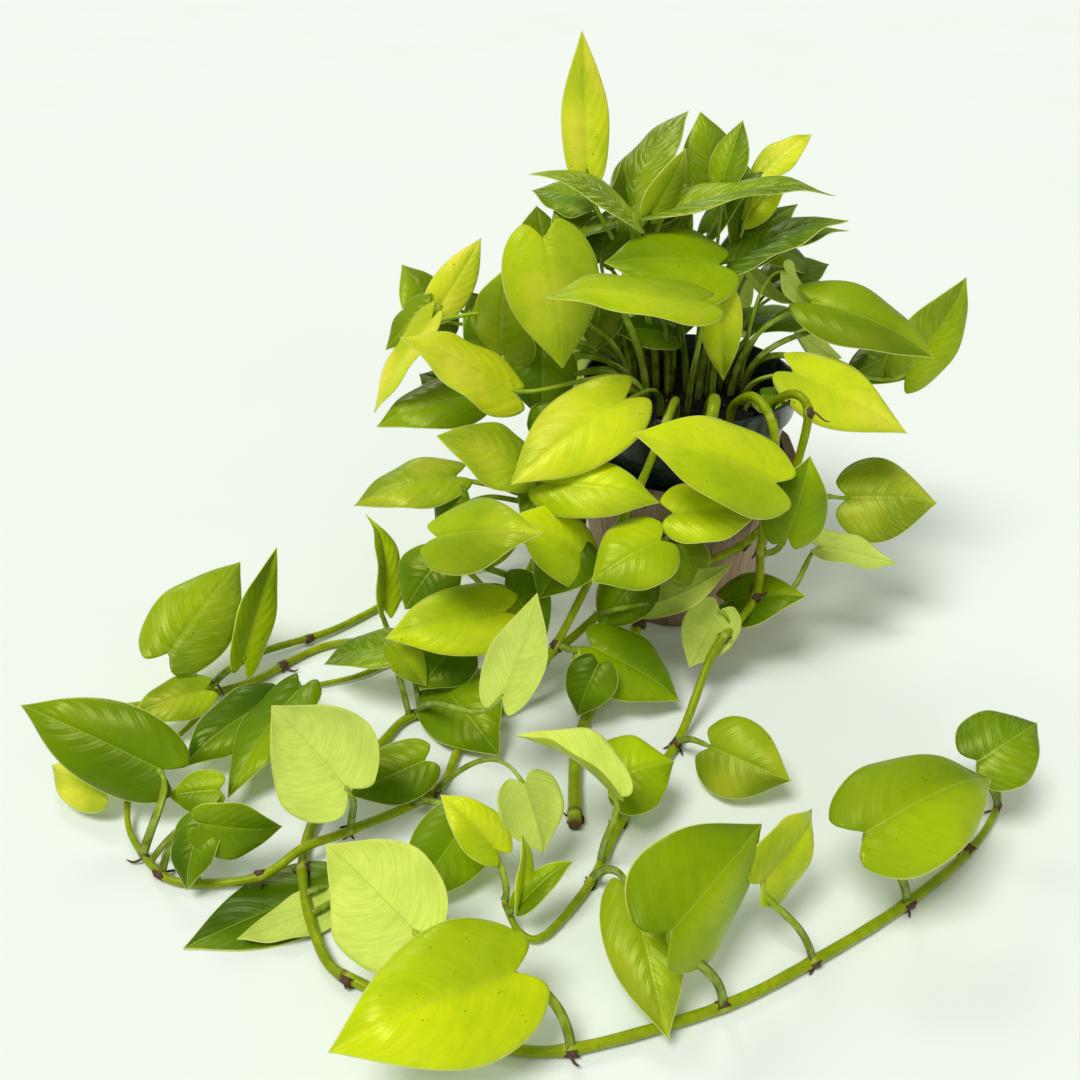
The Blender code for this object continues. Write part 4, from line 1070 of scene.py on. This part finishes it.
def build_soil(material):
    """A lumpy bed of potting mix with loose crumbs, bark, pale grains and orange specks on it."""
    builder = Builder(("tint",))
    sides, low = 72, POT_FLOOR_HEIGHT + POT_WALL + 0.04
    foot, edge = POT_FOOT_RADIUS - POT_WALL, POT_NECK_RADIUS - SOIL_EDGE
    profile = [(0.01, low), (foot - 0.4, low), (foot - 0.1, low + 0.4), (edge - 0.05, SOIL_HEIGHT - 0.4)]
    lower = len(profile)
    profile += [(edge * share, SOIL_HEIGHT - 0.22 * share ** 4) for share in np.linspace(0.99, 0.01, 30)]
    rings = turned(profile, sides)
    x, y = rings[lower:, :, 0], rings[lower:, :, 1]
    lumps = 0.07 * np.sin(x * 2.1 + np.sin(y * 1.7) * 2) + 0.06 * np.sin(y * 2.9 + np.sin(x * 2.3) * 2 + 1)
    lumps += 0.04 * np.sin(x * 7.3 + y * 3.1) * np.sin(y * 6.1 - x * 2.7)
    rings[lower:, :, 2] += lumps
    builder.add(rings, tube_faces(len(profile), sides), 0, tint=(.016, .011, .009, 1.0))
    corners = np.array([(x, y, z) for x in (-1, 1) for y in (-1, 1) for z in (-1, 1)], float)
    box_faces = ((0, 1, 3, 2), (4, 6, 7, 5), (0, 4, 5, 1), (2, 3, 7, 6), (0, 2, 6, 4), (1, 5, 7, 3))
    shares = np.cumsum([share for _, share in CRUMB_COLORS])
    for _ in range(CRUMBS):
        radius = edge * 0.985 * math.sqrt(random.random())
        turn = random.uniform(0, 2 * math.pi)
        kind = min(int(np.searchsorted(shares, random.random())), len(CRUMB_COLORS) - 1)
        size = random.uniform(0.03, 0.13) * (0.55 if kind == PALE_GRAIN else 1.0)
        spin = random.normal(size=(3, 3))
        axes = np.linalg.qr(spin)[0] * (size * random.uniform(0.5, 1.6, 3))[:, None]
        shape = corners * random.uniform(0.6, 1.1, (8, 3))
        height = SOIL_HEIGHT + random.uniform(-0.1, 0.1)
        tint = np.array(CRUMB_COLORS[kind][0]) * random.uniform(0.7, 1.3)
        place = np.array((radius * math.cos(turn), radius * math.sin(turn), height))
        builder.add(shape @ axes + place, box_faces, 0, tint=(*tint, 1.0))
    piece = add_piece("soil_bed", builder.mesh("soil_bed"), (material,), ("soil",))
    piece.data.set_sharp_from_angle(angle=math.radians(60))


# ---------------------------------------------------------------- studio

# Suns: name, the way the light goes, strength, spread in degrees, colour
SUNS = (("overhead", (0.32, 0.26, -0.91), 1.95, 26, (1.0, 1.0, 0.97)),
        ("front_fill", (-0.45, 0.70, -0.55), 0.30, 60, (1.0, 0.98, 0.95)),
        ("back_gloss", (0.25, -0.72, -0.62), 0.45, 16, (1.0, 1.0, 0.98)))
SURROUND = (.96, 1.0, .96, 1)
SURROUND_STRENGTH = 0.33
BACKDROP = (.87, .92, .87, 1)
FLOOR_REACH = 14.0
FLOOR_DROP = 0.0005             # the floor lies this far under the object, against flicker
CAMERA_PLACE = (-0.117, -0.827, 0.580)
CAMERA_DIP = 33                 # degrees below the horizon
CAMERA_LENS = 38.6
CAMERA_SENSOR = 36.0


def sun_light(name, towards, strength, spread, color):
    """A sun lamp that shines the given way."""
    lamp = bpy.data.lights.new(name, "SUN")
    lamp.energy = strength
    lamp.angle = math.radians(spread)
    lamp.color = color
    item = bpy.data.objects.new(name, lamp)
    bpy.context.scene.collection.objects.link(item)
    item.rotation_mode = "QUATERNION"
    item.rotation_quaternion = Vector(towards).to_track_quat("-Z", "Y")


def build_studio():
    """A pale floor, a pale surround, soft lights, and the camera in front of the long vines."""
    mesh = bpy.data.meshes.new("floor")
    corners = [(x * FLOOR_REACH, y * FLOOR_REACH, 0) for x, y in ((-1, -1), (1, -1), (1, 1), (-1, 1))]
    mesh.from_pydata(corners, [], [(0, 1, 2, 3)])
    mesh.materials.append(floor_material())
    floor = bpy.data.objects.new("floor", mesh)
    bpy.context.scene.collection.objects.link(floor)
    floor.location.z = -FLOOR_DROP

    world = bpy.data.worlds.new("studio")
    world.use_nodes = True
    tree = world.node_tree
    surround = tree.nodes["Background"]
    surround.inputs["Color"].default_value = SURROUND
    surround.inputs["Strength"].default_value = SURROUND_STRENGTH
    backdrop = tree.nodes.new("ShaderNodeBackground")
    backdrop.inputs["Color"].default_value = BACKDROP
    seen = tree.nodes.new("ShaderNodeLightPath")
    either = tree.nodes.new("ShaderNodeMixShader")
    tree.links.new(seen.outputs["Is Camera Ray"], either.inputs[0])
    tree.links.new(surround.outputs[0], either.inputs[1])
    tree.links.new(backdrop.outputs[0], either.inputs[2])
    tree.links.new(either.outputs[0], tree.nodes["World Output"].inputs["Surface"])
    bpy.context.scene.world = world

    for sun in SUNS:
        sun_light(*sun)

    camera = bpy.data.cameras.new("camera")
    camera.lens = CAMERA_LENS
    camera.sensor_width = CAMERA_SENSOR
    item = bpy.data.objects.new("camera", camera)
    bpy.context.scene.collection.objects.link(item)
    item.location = CAMERA_PLACE
    item.rotation_euler = (math.radians(90 - CAMERA_DIP), 0, 0)
    bpy.context.scene.camera = item
    bpy.context.scene.view_settings.view_transform = "Standard"


# ---------------------------------------------------------------- everything

def main():
    """Builds the leaves, the stems, the planter, the pot, the soil and the studio, in this order."""
    leaf, stalk = leaf_material(), stalk_material()
    for stem, rows in LEAVES.items():
        for number, (origin, *row) in enumerate(rows, start=1):
            node = f"{stem}_leaf_{number:02d}"
            start, rise = stalk_start(stem, origin, row[0])
            build_leaf(f"leaf_{stem.replace('vine_', '')}_{number:02d}", row[:6], row[6:], start, rise,
                       (leaf, stalk), (node,))
    for number, row in enumerate(FILLERS, start=1):
        start, rise = nearest_start(row[0])
        build_leaf(f"leaf_more_{number:02d}", row[:6], row[6:], start, rise, (leaf, stalk))
    green, root = stem_material(), root_material()
    for name, (radius, route) in VINES.items():
        build_stem(name, radius, route, (green, root))
    wood = wood_material()
    build_planter(wood)
    build_floor_board(wood)
    build_pot(pot_material())
    build_soil(soil_material())
    build_studio()


main()
